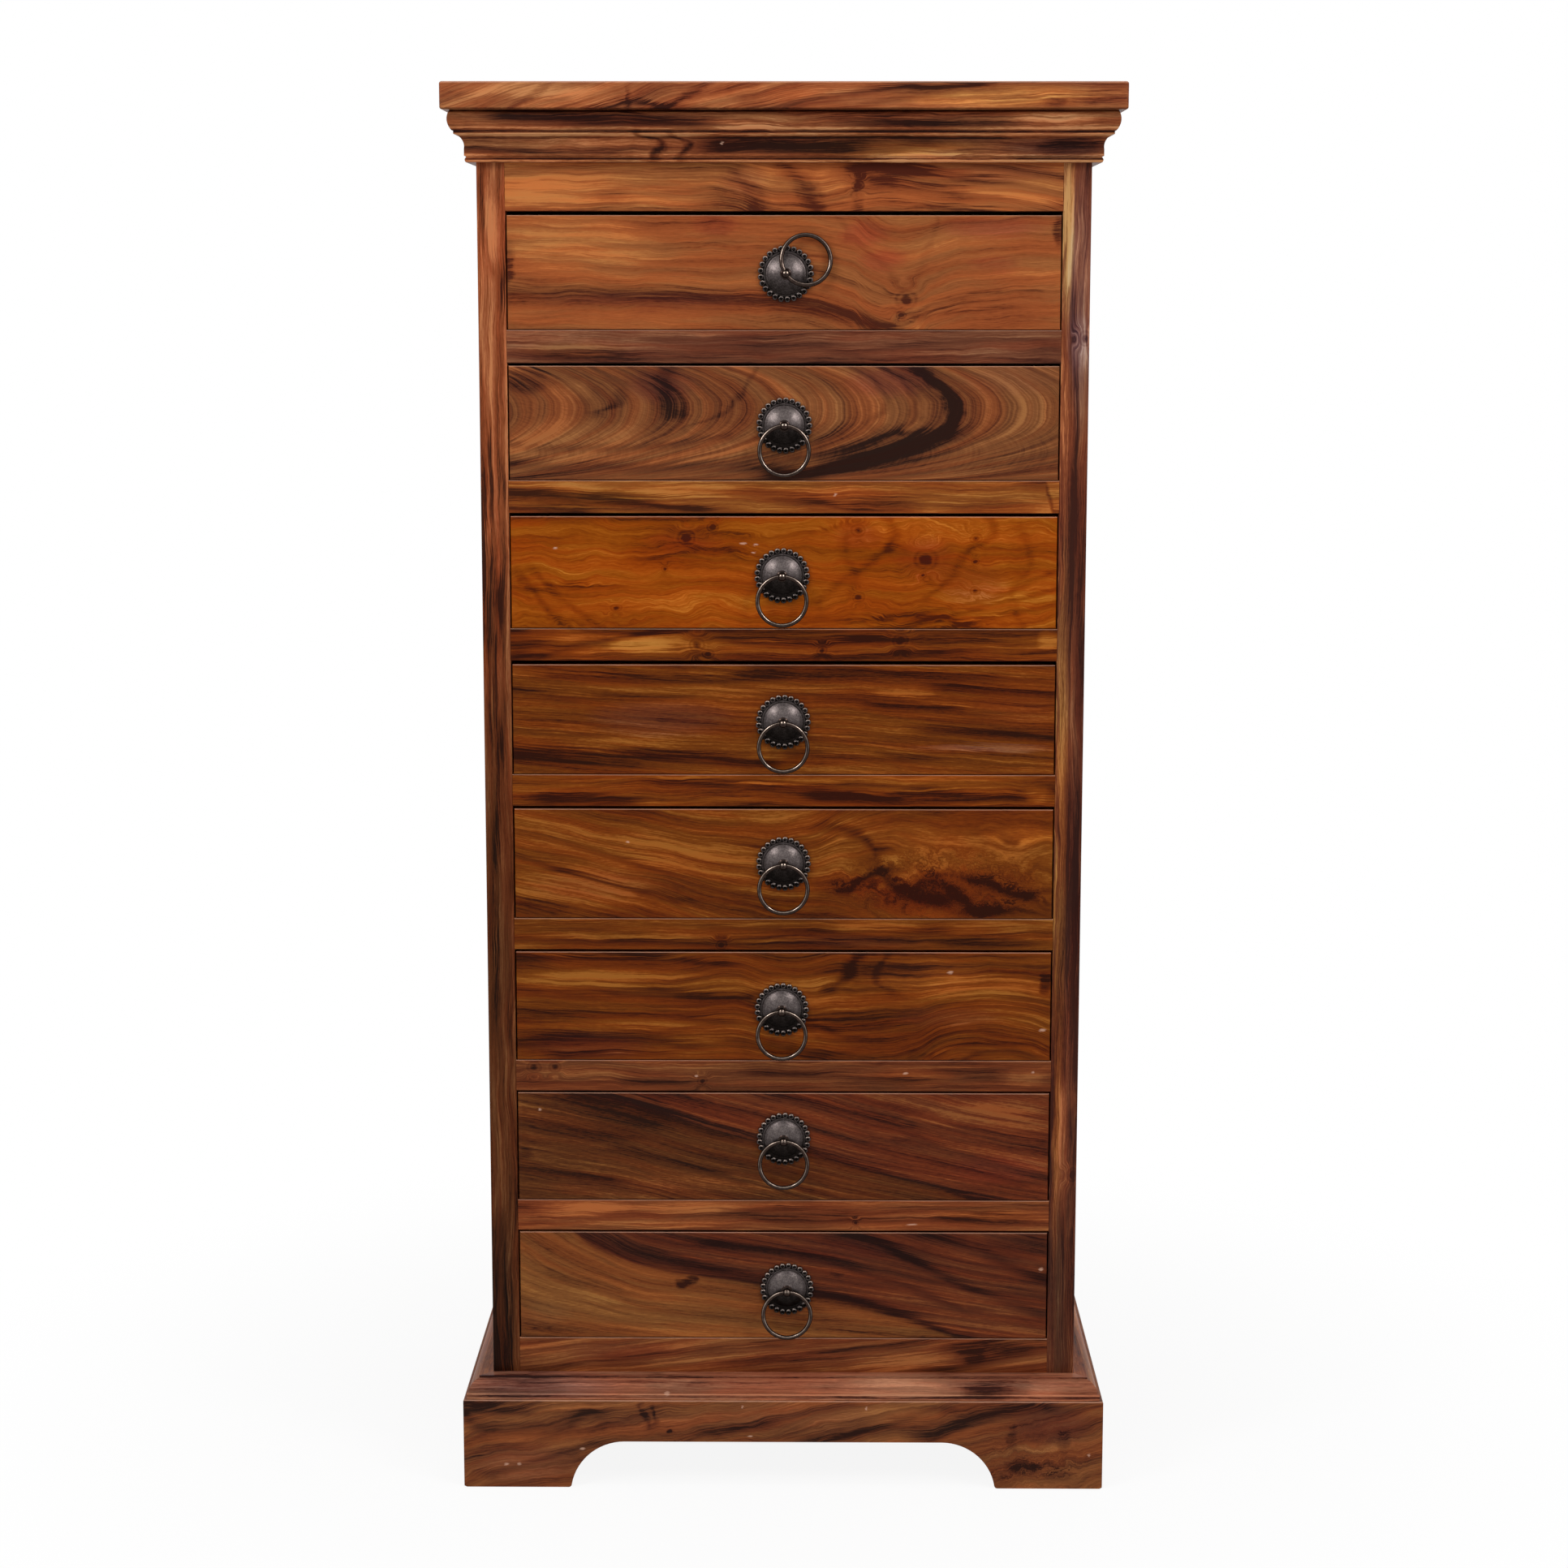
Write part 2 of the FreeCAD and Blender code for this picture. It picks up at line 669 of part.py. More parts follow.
def make_front_rails():
    drawer_rails = []
    for name, (foot, head) in rail_levels().items():
        depth = dim.frieze_thickness if name == "frieze_rail" else dim.rail_depth
        rail = front_rail(name, foot, head, depth)
        if name.startswith("drawer_rail"):
            drawer_rails.append(rail)
        else:
            node(name, rail)
    node("drawer_rails", compound("drawer_rails", drawer_rails))


def make_sides():
    rails, panels = [], []
    spans = panel_spans()
    for number, (foot, head) in enumerate(side_rail_levels(), 1):
        name = f"side_rail_{number}"
        bar = box(f"{name}_bar", (opening_half, front_post_back, foot), (body_half, rear_post_front, head))
        blank = fuse(f"{name}_blank", [bar, *side_tenons(name, foot, head, dim.side_tenon_length)])
        grooves = [panel_box(f"{name}_groove_{at}", *span) for at, span in enumerate(spans, 1)]
        rail = cut(name, blank, grooves)
        rails += [rail, mirrored(f"{name}_left", rail)]
    for number, span in enumerate(spans, 1):
        panel = panel_box(f"side_panel_{number}", *span)
        panels += [panel, mirrored(f"side_panel_{number}_left", panel)]
    node("side_rails", compound("side_rails", rails))
    node("side_panels", compound("side_panels", panels))


def make_back():
    rails = []
    for number, (foot, head) in enumerate(rear_rail_levels(), 1):
        name = f"rear_rail_{number}"
        bar = box(f"{name}_bar", (-opening_half, back_panel_back, foot), (opening_half, body_back, head))
        tenon = rear_tenon(f"{name}_tenon", foot, head, dim.tenon_length)
        rails.append(fuse(name, [bar, tenon, mirrored(f"{name}_left_tenon", tenon)]))
    node("rear_rails", compound("rear_rails", rails))
    low = (-opening_half, back_panel_front, dim.skirt_height)
    high = (opening_half, back_panel_back, body_top - dim.back_play)
    node("back_panel", box("back_panel", low, high))


def make_top_blocks():
    """Blocks in the corners between the top board and the rails under it."""
    foot = body_top - dim.block_side
    half = dim.block_length / 2
    near = body_front + dim.frieze_thickness
    low = (dim.block_spread - half, near, foot)
    high = (dim.block_spread + half, near + dim.block_side, body_top)
    blocks = [box("front_top_block", low, high)]
    for at, shift in enumerate((-dim.side_block_shift, dim.side_block_shift), 1):
        low = (opening_half - dim.block_side, shift - half, foot)
        high = (opening_half, shift + half, body_top)
        blocks.append(box(f"side_top_block_{at}", low, high))
    blocks += [mirrored(f"{block.Name}_left", block) for block in blocks]
    node("top_blocks", compound("top_blocks", blocks))


def make_running_gear():
    """Two runners and two stops for each drawer."""
    runners, stops = [], []
    half = dim.stop_width / 2
    for number in range(1, len(DRAWERS) + 1):
        floor = drawer_floor(number)
        low = (runner_inner, front_rail_back, floor - dim.runner_height)
        runner = box(f"runner_{number}", low, (opening_half, back_panel_front, floor))
        runners += [runner, mirrored(f"runner_{number}_left", runner)]
        low = (dim.stop_spread - half, front_back, floor)
        high = (dim.stop_spread + half, front_back + dim.stop_depth, floor + dim.stop_height)
        stop = box(f"stop_{number}", low, high)
        stops += [stop, mirrored(f"stop_{number}_left", stop)]
    node("drawer_runners", compound("drawer_runners", runners))
    node("drawer_stops", compound("drawer_stops", stops))


# ---------------------------------------------------------------- drawers
def drawer_floor(number):
    """Top of the rail that a drawer runs over."""
    return first_floor + (len(DRAWERS) - number) * drawer_pitch


def drawer_levels(number):
    """Foot and head of a drawer front."""
    floor = drawer_floor(number)
    return floor + dim.drawer_under_gap, floor + dim.opening_height - getattr(dim, f"gap_over_{number}")


def pull_centre(number):
    """Where a pull's bolt meets the face of its drawer front."""
    foot, head = drawer_levels(number)
    height = (foot + head) / 2 + getattr(dim, f"pull_lift_{number}")
    return getattr(dim, f"pull_shift_{number}"), body_front, height


def bottom_box(name, foot):
    """A drawer bottom, with its edges in the grooves of the sides and the front."""
    half = side_inner + dim.bottom_tongue
    low = (-half, front_back - dim.bottom_tongue, foot + dim.bottom_lift)
    return box(name, low, (half, drawer_back, low[2] + dim.bottom_thickness))


def drawer_side(name, foot):
    """A right-hand drawer side, from its lap in the front to the back of the drawer."""
    low = (side_inner, body_front + dim.front_lap, foot)
    return box(name, low, (drawer_half, drawer_back, foot + dim.side_height))


def make_front(number):
    name = f"drawer_{number}_front"
    foot, head = drawer_levels(number)
    low, high = (-drawer_half, body_front, foot), (drawer_half, front_back, head)
    lines = [{"y": body_front, "z": foot}, {"y": body_front, "z": head}]
    lines += [{"x": low[0], "y": body_front}, {"x": high[0], "y": body_front}]
    blank = eased_board(f"{name}_blank", low, high, lines, dim.front_easing)
    lap = drawer_side(f"{name}_right_lap", foot)
    bore_base = pull_centre(number)[0], front_back, pull_centre(number)[2]
    bore = cylinder(f"{name}_bore", dim.bolt_radius + dim.bolt_play, dim.front_thickness, bore_base, OUTWARD)
    tools = [lap, mirrored(f"{name}_left_lap", lap), bottom_box(f"{name}_groove", foot), bore]
    node(name, cut(name, blank, tools))


def make_box(number):
    name = f"drawer_{number}_box"
    foot = drawer_levels(number)[0]
    side = cut(f"{name}_right", drawer_side(f"{name}_side", foot), [bottom_box(f"{name}_groove", foot)])
    bottom = bottom_box(f"{name}_bottom", foot)
    low = (-side_inner, drawer_back - dim.side_thickness, foot + dim.bottom_lift + dim.bottom_thickness)
    back = box(f"{name}_back", low, (side_inner, drawer_back, foot + dim.side_height - dim.back_drop))
    node(name, compound(name, [side, mirrored(f"{name}_left", side), bottom, back]))


# ---------------------------------------------------------------- ring pulls
# A pull is drawn with its own Z pointing out of the drawer front and its own Y up.
OUTWARD = FreeCAD.Rotation(FreeCAD.Vector(1, 0, 0), 90)


def pull_rotation(number):
    """The way a pull faces, with the turn of its eye about the bolt."""
    turn = getattr(dim, f"pull_turn_{number}").value
    return OUTWARD * FreeCAD.Rotation(FreeCAD.Vector(0, 0, 1), turn)


def make_rosette(number):
    """A round plate with a domed middle in a groove and beads around its rim."""
    name = f"drawer_{number}_rosette"
    bore = dim.bolt_radius + dim.bolt_play
    plate = dim.rosette_thickness
    sunk = plate - dim.rosette_groove_depth
    body = doc.addObject("PartDesign::Body", name)
    sketch = plane_sketch(body, f"{name}_profile", "XZ_Plane")
    draw_outline(sketch, [
        (bore, 0),
        (dim.rosette_radius, 0),
        (dim.rosette_radius, plate),
        (dim.dome_radius + dim.rosette_groove, plate),
        (dim.dome_radius + dim.rosette_groove, sunk),
        (dim.dome_radius, sunk),
        (bore, dim.dome_height, dim.dome_curve, 1),
    ])
    turned = body.newObject("PartDesign::Revolution", f"{name}_turned")
    turned.Profile = sketch
    turned.ReferenceAxis = (sketch, ["V_Axis"])
    turned.Angle = 360
    doc.recompute()
    bead = body.newObject("PartDesign::AdditiveSphere", f"{name}_bead")
    bead.Angle1 = 0
    bind(bead, "Radius", dim.bead_size)
    bead.AttachmentSupport = (origin_feature(body, "XY_Plane"), [""])
    bead.MapMode = "FlatFace"
    bind(bead, "AttachmentOffset.Base.x", dim.bead_circle)
    doc.recompute()
    beads = body.newObject("PartDesign::PolarPattern", f"{name}_beads")
    beads.Originals = [bead]
    beads.Axis = (origin_feature(body, "Z_Axis"), [""])
    beads.Angle = 360
    beads.Occurrences = BEAD_COUNT
    body.Tip = beads
    node(name, place(body, pull_centre(number), OUTWARD))


def make_eyebolt(number):
    """A bolt with a bored ball for its head, and the washer and nut behind the front."""
    name = f"drawer_{number}_eyebolt"
    washer_back = -dim.front_thickness - dim.washer_thickness
    nut_back = washer_back - dim.nut_height
    end = nut_back - dim.bolt_end
    shank = cylinder(f"{name}_shank", dim.bolt_radius, dim.eye_reach - end, (0, 0, end))

    collar = doc.addObject("Part::Cone", f"{name}_collar")
    bind(collar, "Radius1", dim.collar_radius)
    bind(collar, "Radius2", dim.collar_top)
    bind(collar, "Height", dim.collar_height)
    bind(collar, "Placement.Base.z", dim.dome_height)

    ball = doc.addObject("Part::Sphere", f"{name}_ball")
    bind(ball, "Radius", dim.eye_radius)
    bind(ball, "Placement.Base.z", dim.eye_reach)

    across = FreeCAD.Rotation(FreeCAD.Vector(0, 1, 0), 90)
    bore_start = (-2 * dim.eye_radius, 0, dim.eye_reach)
    bore = cylinder(f"{name}_eye_bore", dim.eye_bore, 4 * dim.eye_radius, bore_start, across)
    bolt = cut(f"{name}_bolt", fuse(f"{name}_blank", [shank, collar, ball]), [bore])

    disc = cylinder(f"{name}_disc", dim.washer_radius, dim.washer_thickness, (0, 0, washer_back))
    hole = cylinder(f"{name}_washer_hole", dim.bolt_radius + dim.bolt_play / 2, dim.washer_thickness,
                    (0, 0, washer_back))
    washer = cut(f"{name}_washer", disc, [hole])

    hexagon = doc.addObject("Part::Prism", f"{name}_hexagon")
    hexagon.Polygon = 6
    bind(hexagon, "Circumradius", dim.nut_radius)
    bind(hexagon, "Height", dim.nut_height)
    bind(hexagon, "Placement.Base.z", nut_back)
    thread = cylinder(f"{name}_thread", dim.bolt_radius, dim.nut_height, (0, 0, nut_back))
    nut = cut(f"{name}_nut", hexagon, [thread])

    group = compound(name, [bolt, washer, nut])
    node(name, place(group, pull_centre(number), pull_rotation(number)))


def make_ring(number):
    """A wire ring through the eye, hanging or leaning back from its pull."""
    name = f"drawer_{number}_ring"
    ring = doc.addObject("Part::Torus", name)
    bind(ring, "Radius1", dim.ring_radius)
    bind(ring, "Radius2", dim.wire_radius)
    centre = FreeCAD.Vector(*[length.value for length in pull_centre(number)])
    lean = FreeCAD.Rotation(FreeCAD.Vector(1, 0, 0), getattr(dim, f"ring_lean_{number}").value)
    to_eye = FreeCAD.Placement(FreeCAD.Vector(0, 0, dim.eye_reach.value), lean)
    to_ring = FreeCAD.Placement(FreeCAD.Vector(0, -dim.ring_radius.value, 0), FreeCAD.Rotation())
    ring.Placement = FreeCAD.Placement(centre, pull_rotation(number)) * to_eye * to_ring
    node(name, ring)


# ---------------------------------------------------------------- build, check and write
def build():
    make_top_board()
    make_cornice()
    make_skirt()
    make_base_moulding()
    make_posts()
    make_front_rails()
    make_sides()
    make_back()
    make_top_blocks()
    make_running_gear()
    for number in range(1, len(DRAWERS) + 1):
        make_front(number)
        make_box(number)
        make_rosette(number)
        make_eyebolt(number)
        make_ring(number)
    doc.recompute()


def check():
    """Stop if any object failed or any sub-part's shape is missing or broken."""
    for thing in doc.Objects:
        if "Invalid" in thing.State or "Error" in thing.State:
            raise RuntimeError(f"{thing.Label}: {thing.State}")
    for name, thing in parts.items():
        if thing.Shape.isNull() or not thing.Shape.isValid() or not thing.Shape.Solids:
            raise RuntimeError(f"{name}: no valid solid")


def write():
    os.makedirs("parts", exist_ok=True)
    for name, thing in parts.items():
        thing.Shape.exportStep(f"parts/{name}.step")
        print(f"{name}: {len(thing.Shape.Solids)} solids, {thing.Shape.Volume / 1000:.1f} cm3")


build()
check()
write()
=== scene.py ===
import json
import math
from dataclasses import dataclass

import bmesh
import bpy
from mathutils import Matrix, Vector


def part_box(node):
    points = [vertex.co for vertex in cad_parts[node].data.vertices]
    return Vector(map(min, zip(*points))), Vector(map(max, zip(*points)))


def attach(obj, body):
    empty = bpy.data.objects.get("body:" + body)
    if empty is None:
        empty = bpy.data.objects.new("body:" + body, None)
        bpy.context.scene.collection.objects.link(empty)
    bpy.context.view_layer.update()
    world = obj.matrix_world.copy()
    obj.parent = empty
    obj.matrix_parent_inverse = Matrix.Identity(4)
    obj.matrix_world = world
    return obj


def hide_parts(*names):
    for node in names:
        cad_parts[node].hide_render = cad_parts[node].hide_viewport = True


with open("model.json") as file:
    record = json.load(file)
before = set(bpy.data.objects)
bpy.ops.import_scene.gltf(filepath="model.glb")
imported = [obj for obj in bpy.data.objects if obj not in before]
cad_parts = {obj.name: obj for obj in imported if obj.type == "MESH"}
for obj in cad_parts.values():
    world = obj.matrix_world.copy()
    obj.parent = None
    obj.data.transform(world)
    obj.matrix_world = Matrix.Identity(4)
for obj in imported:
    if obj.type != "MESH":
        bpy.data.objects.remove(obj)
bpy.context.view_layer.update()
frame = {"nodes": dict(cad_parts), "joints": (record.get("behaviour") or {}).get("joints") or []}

# The looks of a semainier: figured rosewood boards, cast iron rosettes with ring pulls,
# a soft studio light and a pale floor. The frame is in metres; grain is laid out in
# millimetres, as u along the grain and v across it, from the middle of each board.

MM = 0.001
DRAWERS = 8


# ---------------------------------------------------------------- shader graph helpers
def srgb(red, green, blue):
    """A colour from 8-bit sRGB values, as the linear RGBA that a shader socket takes."""
    def linear(value):
        share = value / 255
        return share / 12.92 if share <= 0.04045 else ((share + 0.055) / 1.055) ** 2.4
    return (linear(red), linear(green), linear(blue), 1)


class Field:
    """A value that varies over a surface. Arithmetic on it adds Math nodes."""

    def __init__(self, graph, socket):
        self.graph, self.socket = graph, socket

    def __add__(self, other):
        return self.graph.math("ADD", self, other)

    def __sub__(self, other):
        return self.graph.math("SUBTRACT", self, other)

    def __rsub__(self, other):
        return self.graph.math("SUBTRACT", other, self)

    def __mul__(self, other):
        return self.graph.math("MULTIPLY", self, other)

    __radd__ = __add__

    def __truediv__(self, other):
        return self.graph.math("DIVIDE", self, other)

    def __abs__(self):
        return self.graph.math("ABSOLUTE", self)


class Graph:
    """The node tree of a material or a world, with short calls for what is needed here.

    An input is a Field or a plain value; colours are linear RGBA.
    """

    def __init__(self, owner):
        owner.use_nodes = True
        self.owner, self.tree = owner, owner.node_tree
        self.tree.nodes.clear()

    def node(self, kind, inputs=None, **settings):
        made = self.tree.nodes.new("ShaderNode" + kind)
        for key, value in settings.items():
            setattr(made, key, value)
        for key, value in (inputs or {}).items():
            if isinstance(value, Field):
                self.tree.links.new(value.socket, made.inputs[key])
            else:
                made.inputs[key].default_value = value
        return made

    def field(self, kind, inputs=None, output=0, **settings):
        """One output of a new node."""
        return Field(self, self.node(kind, inputs, **settings).outputs[output])

    def math(self, operation, *values, clamp=False):
        return self.field("Math", dict(enumerate(values)), operation=operation, use_clamp=clamp)

    def position(self, axes):
        """Object coordinates in mm; on a board, along the grain, across it and into the board."""
        split = self.node("SeparateXYZ", {0: self.field("TexCoord", output="Object")})
        return [Field(self, split.outputs["XYZ".index(axis)]) / MM for axis in axes]

    def noise(self, x, y, z, detail=2, roughness=0.5):
        """Fractal noise at a point, from about -0.5 to 0.5."""
        point = self.field("CombineXYZ", {0: x, 1: y, 2: z})
        inputs = {"Vector": point, "Scale": 1.0, "Detail": detail, "Roughness": roughness}
        return self.field("TexNoise", inputs) - 0.5

    def speckle(self, scale, detail, roughness):
        """Fractal noise all over a thing, of scale waves to a millimetre."""
        return self.noise(*(axis * scale for axis in self.position("XYZ")), detail, roughness)

    def smooth(self, value, low, high, to=1.0):
        """0 where value is at low, rising smoothly to a level where it is at high."""
        inputs = {0: value, 1: low, 2: high, 3: 0.0, 4: to}
        return self.field("MapRange", inputs, interpolation_type="SMOOTHSTEP")

    def curve(self, x, points):
        """A smooth curve through points (x, y), level past its ends."""
        x0, x1 = points[0][0], points[-1][0]
        y0, y1 = min(y for _, y in points), max(y for _, y in points)
        if y0 == y1:
            return y0
        made = self.node("FloatCurve", {"Value": self.math("DIVIDE", x - x0, x1 - x0, clamp=True)})
        line = made.mapping.curves[0]
        places = [((px - x0) / (x1 - x0), (py - y0) / (y1 - y0)) for px, py in points]
        for place in places[1:-1]:
            line.points.new(*place)
        for point, place in zip(line.points, places):
            point.location, point.handle_type = place, "AUTO_CLAMPED"
        made.mapping.update()
        return Field(self, made.outputs[0]) * (y1 - y0) + y0

    def ramp(self, value, shades):
        """Colours, as 8-bit sRGB values, evenly spaced over a value from 0 to 1."""
        made = self.node("ValToRGB", {0: value})
        stops = made.color_ramp.elements
        while len(stops) < len(shades):
            stops.new(0.5)
        for i, shade in enumerate(shades):
            stops[i].position = i / (len(shades) - 1)
            stops[i].color = srgb(*shade)
        return Field(self, made.outputs[0])

    def mix(self, share, first, second, blend="MIX"):
        """One colour over another, by share."""
        inputs = {0: share, 6: first, 7: second}
        return self.field("Mix", inputs, output=2, data_type="RGBA", blend_type=blend)

    def bump(self, height, depth):
        """The normal of a surface raised by height, from 0 to 1, times a depth in mm."""
        return self.field("Bump", {"Height": height, "Distance": depth * MM, "Strength": 1.0})

    def seen(self):
        """1 for a ray from the camera, straight or by way of metal or glass, and 0 for one of light."""
        rays = self.node("LightPath")
        camera, glossy, through = (Field(self, rays.outputs[f"Is {kind} Ray"])
                                   for kind in ("Camera", "Glossy", "Transmission"))
        return self.math("MAXIMUM", camera, self.math("MAXIMUM", glossy, through))

    def finish(self, **inputs):
        """The Principled shader with these inputs, as the material's surface."""
        named = {name.replace("_", " "): value for name, value in inputs.items()}
        self.node("OutputMaterial", {0: self.field("BsdfPrincipled", named)})
        return self.owner


# ---------------------------------------------------------------- wood
# Five tones of each wood, from its darkest vein to its brightest streak.
HONEY = [(70, 30, 17), (124, 66, 34), (141, 78, 41), (156, 90, 47), (182, 112, 60)]
AMBER = [(70, 24, 3), (120, 51, 2), (138, 63, 4), (154, 77, 11), (184, 106, 32)]
RUSSET = [(42, 14, 4), (82, 34, 7), (102, 47, 9), (119, 59, 13), (152, 88, 32)]
UMBER = [(42, 18, 10), (82, 39, 20), (100, 51, 27), (116, 63, 33), (146, 88, 48)]
MAHOGANY = [(32, 13, 9), (64, 29, 18), (84, 39, 22), (100, 49, 26), (130, 72, 38)]
CHESTNUT = [(46, 20, 11), (92, 50, 24), (112, 64, 31), (126, 74, 36), (148, 94, 47)]
OLIVE = [(38, 17, 9), (72, 34, 15), (86, 44, 19), (103, 56, 25), (134, 82, 40)]
GOLD = [(38, 19, 13), (88, 47, 28), (110, 62, 34), (128, 74, 41), (154, 96, 54)]
ROSE = [(48, 19, 11), (112, 56, 33), (136, 76, 44), (156, 93, 55), (190, 122, 76)]
PLUM = [(46, 21, 15), (84, 43, 29), (102, 55, 36), (117, 68, 46), (146, 96, 66)]
TAWNY = [(60, 25, 10), (108, 51, 20), (130, 66, 25), (150, 82, 31), (184, 116, 54)]
PINE = [(126, 84, 50), (164, 120, 76), (176, 134, 88), (186, 145, 98), (198, 158, 112)]
REDDENED, GILDED = srgb(260, 243, 234), srgb(249, 260, 260)
# The second and third colours here are a painted highlight and a painted shade for eased edges.
SCUFF, EDGE_HIGHLIGHT, EDGE_SHADE = srgb(206, 164, 140), srgb(192, 146, 122), srgb(30, 12, 8)


def toned(shades, factor):
    """The same wood, lighter or darker."""
    return [tuple(channel * factor for channel in shade) for shade in shades]


@dataclass
class Figure:
    """What the grain of one board does, in mm from the middle of the board.

    head and foot are the course of a grain line near the upper and lower edge, as points
    (u, v) reach above and below the middle; foot is like head if it isn't given. An arch is
    a line that arches to the right, as points (v, u), and all grain lines are copies of it.
    Veins are dark lines: (points, width at the first point, width at the last, strength);
    those in crossing climb the board.
    Patches are lighter or darker places: (u, v, half length, half width, change of tone).
    Knots are (u, v, radius), burls (u, v, half length, half width, size), tints (u, v, half
    length, half width, colour, strength), and scuffs pale marks (u, v, half length, half
    width). Lines along a moulding are painted shade and painted highlight, all along it:
    (v, half width, change of tone).
    Above divide, a line of points, the wood is upper; layers are (low v, high v, wood).
    """
    wood: list
    seed: float
    head: list = None
    foot: list = None
    reach: float = 52
    arch: list = None
    veins: list = ()
    crossing: list = ()
    patches: list = ()
    knots: list = ()
    burls: list = ()
    tints: list = ()
    scuffs: list = ()
    shading_lines: list = ()
    divide: list = None
    upper: list = None
    layers: list = ()
    contrast: float = 0.8
    grain: float = 1.0
    waviness: float = 0.5
    unrest: float = 0.0
    blush: float = 1.0
    # Whether eased edges get a painted highlight above and painted shade below.
    painted_light: bool = True

    def wood_at(self, v):
        """The wood of the layer at v, or of the whole board if it has none there."""
        return next((shades for low, high, shades in self.layers if low < v < high), self.wood)


def spot(graph, u, v, cu, cv, half_length, half_width):
    """1 at a place, falling smoothly to 0 at its rim."""
    du, dv = (u - cu) / half_length, (v - cv) / half_width
    return graph.smooth(du * du + dv * dv, 1.0, 0.0)


def course_of(graph, figure, u, v):
    """The grain's own coordinate: it stays the same all along one grain line."""
    seed = figure.seed
    warp, ripple = graph.noise(u * 0.006, v * 0.012, seed), graph.noise(u * 0.018, v * 0.02, seed + 9)
    course = v + (warp * 30 + ripple * 14) * figure.waviness
    if figure.unrest:
        course = course + graph.noise(u * 0.02, v * 0.03, seed + 4, 3) * figure.unrest
    if figure.head:
        high, low = graph.curve(u, figure.head), graph.curve(u, figure.foot or figure.head)
        share = graph.math("MULTIPLY", v + figure.reach, 0.5 / figure.reach, clamp=True)
        course = course - low - share * (high - low)
    if figure.arch:
        course = (course - v) * 0.6 + (u - graph.curve(v, figure.arch)) * 0.5
    for cu, cv, half_length, half_width, size in figure.burls:
        churn = graph.noise(u * 0.07, v * 0.08, seed + 5, 5, 0.62)
        course = course + churn * spot(graph, u, v, cu, cv, half_length, half_width) * size
    for cu, cv, radius in figure.knots:
        near = spot(graph, u, v, cu, cv, radius * 7, radius * 6)
        course = course + near * near * (v - cv) * 0.95
    return course


def vein(graph, u, v, points, start_width, end_width, wander, crossing):
    """1 in the middle of a dark line, 0 off it; wander makes its edges uneven."""
    along, across = (v, u) if crossing else (u, v)
    line = sorted((b, a) for a, b in points) if crossing else points
    first, last = line[0][0], line[-1][0]
    width = graph.field("MapRange", {0: along, 1: first, 2: last, 3: start_width, 4: end_width})
    off = abs(across - graph.curve(along, line) + wander) / width
    run_out = 8 if crossing else 35
    ends = graph.smooth(along, first - run_out, first) * graph.smooth(along, last + run_out, last)
    return graph.smooth(off, 1.05, 0.0) * ends


def knot_tone(graph, du, dv, radius):
    """How much darker or lighter the wood is in and around a knot, at an offset from its middle."""
    away = graph.math("SQRT", du * du + dv * dv)
    core = graph.smooth(away, radius * 1.3, 0.0) * 0.65
    halo = graph.smooth(away, radius * 3.4, radius) * 0.24
    rings = graph.math("SINE", away * (4.6 / radius)) * graph.smooth(away, radius * 4.5, radius) * 0.12
    return rings - core - halo


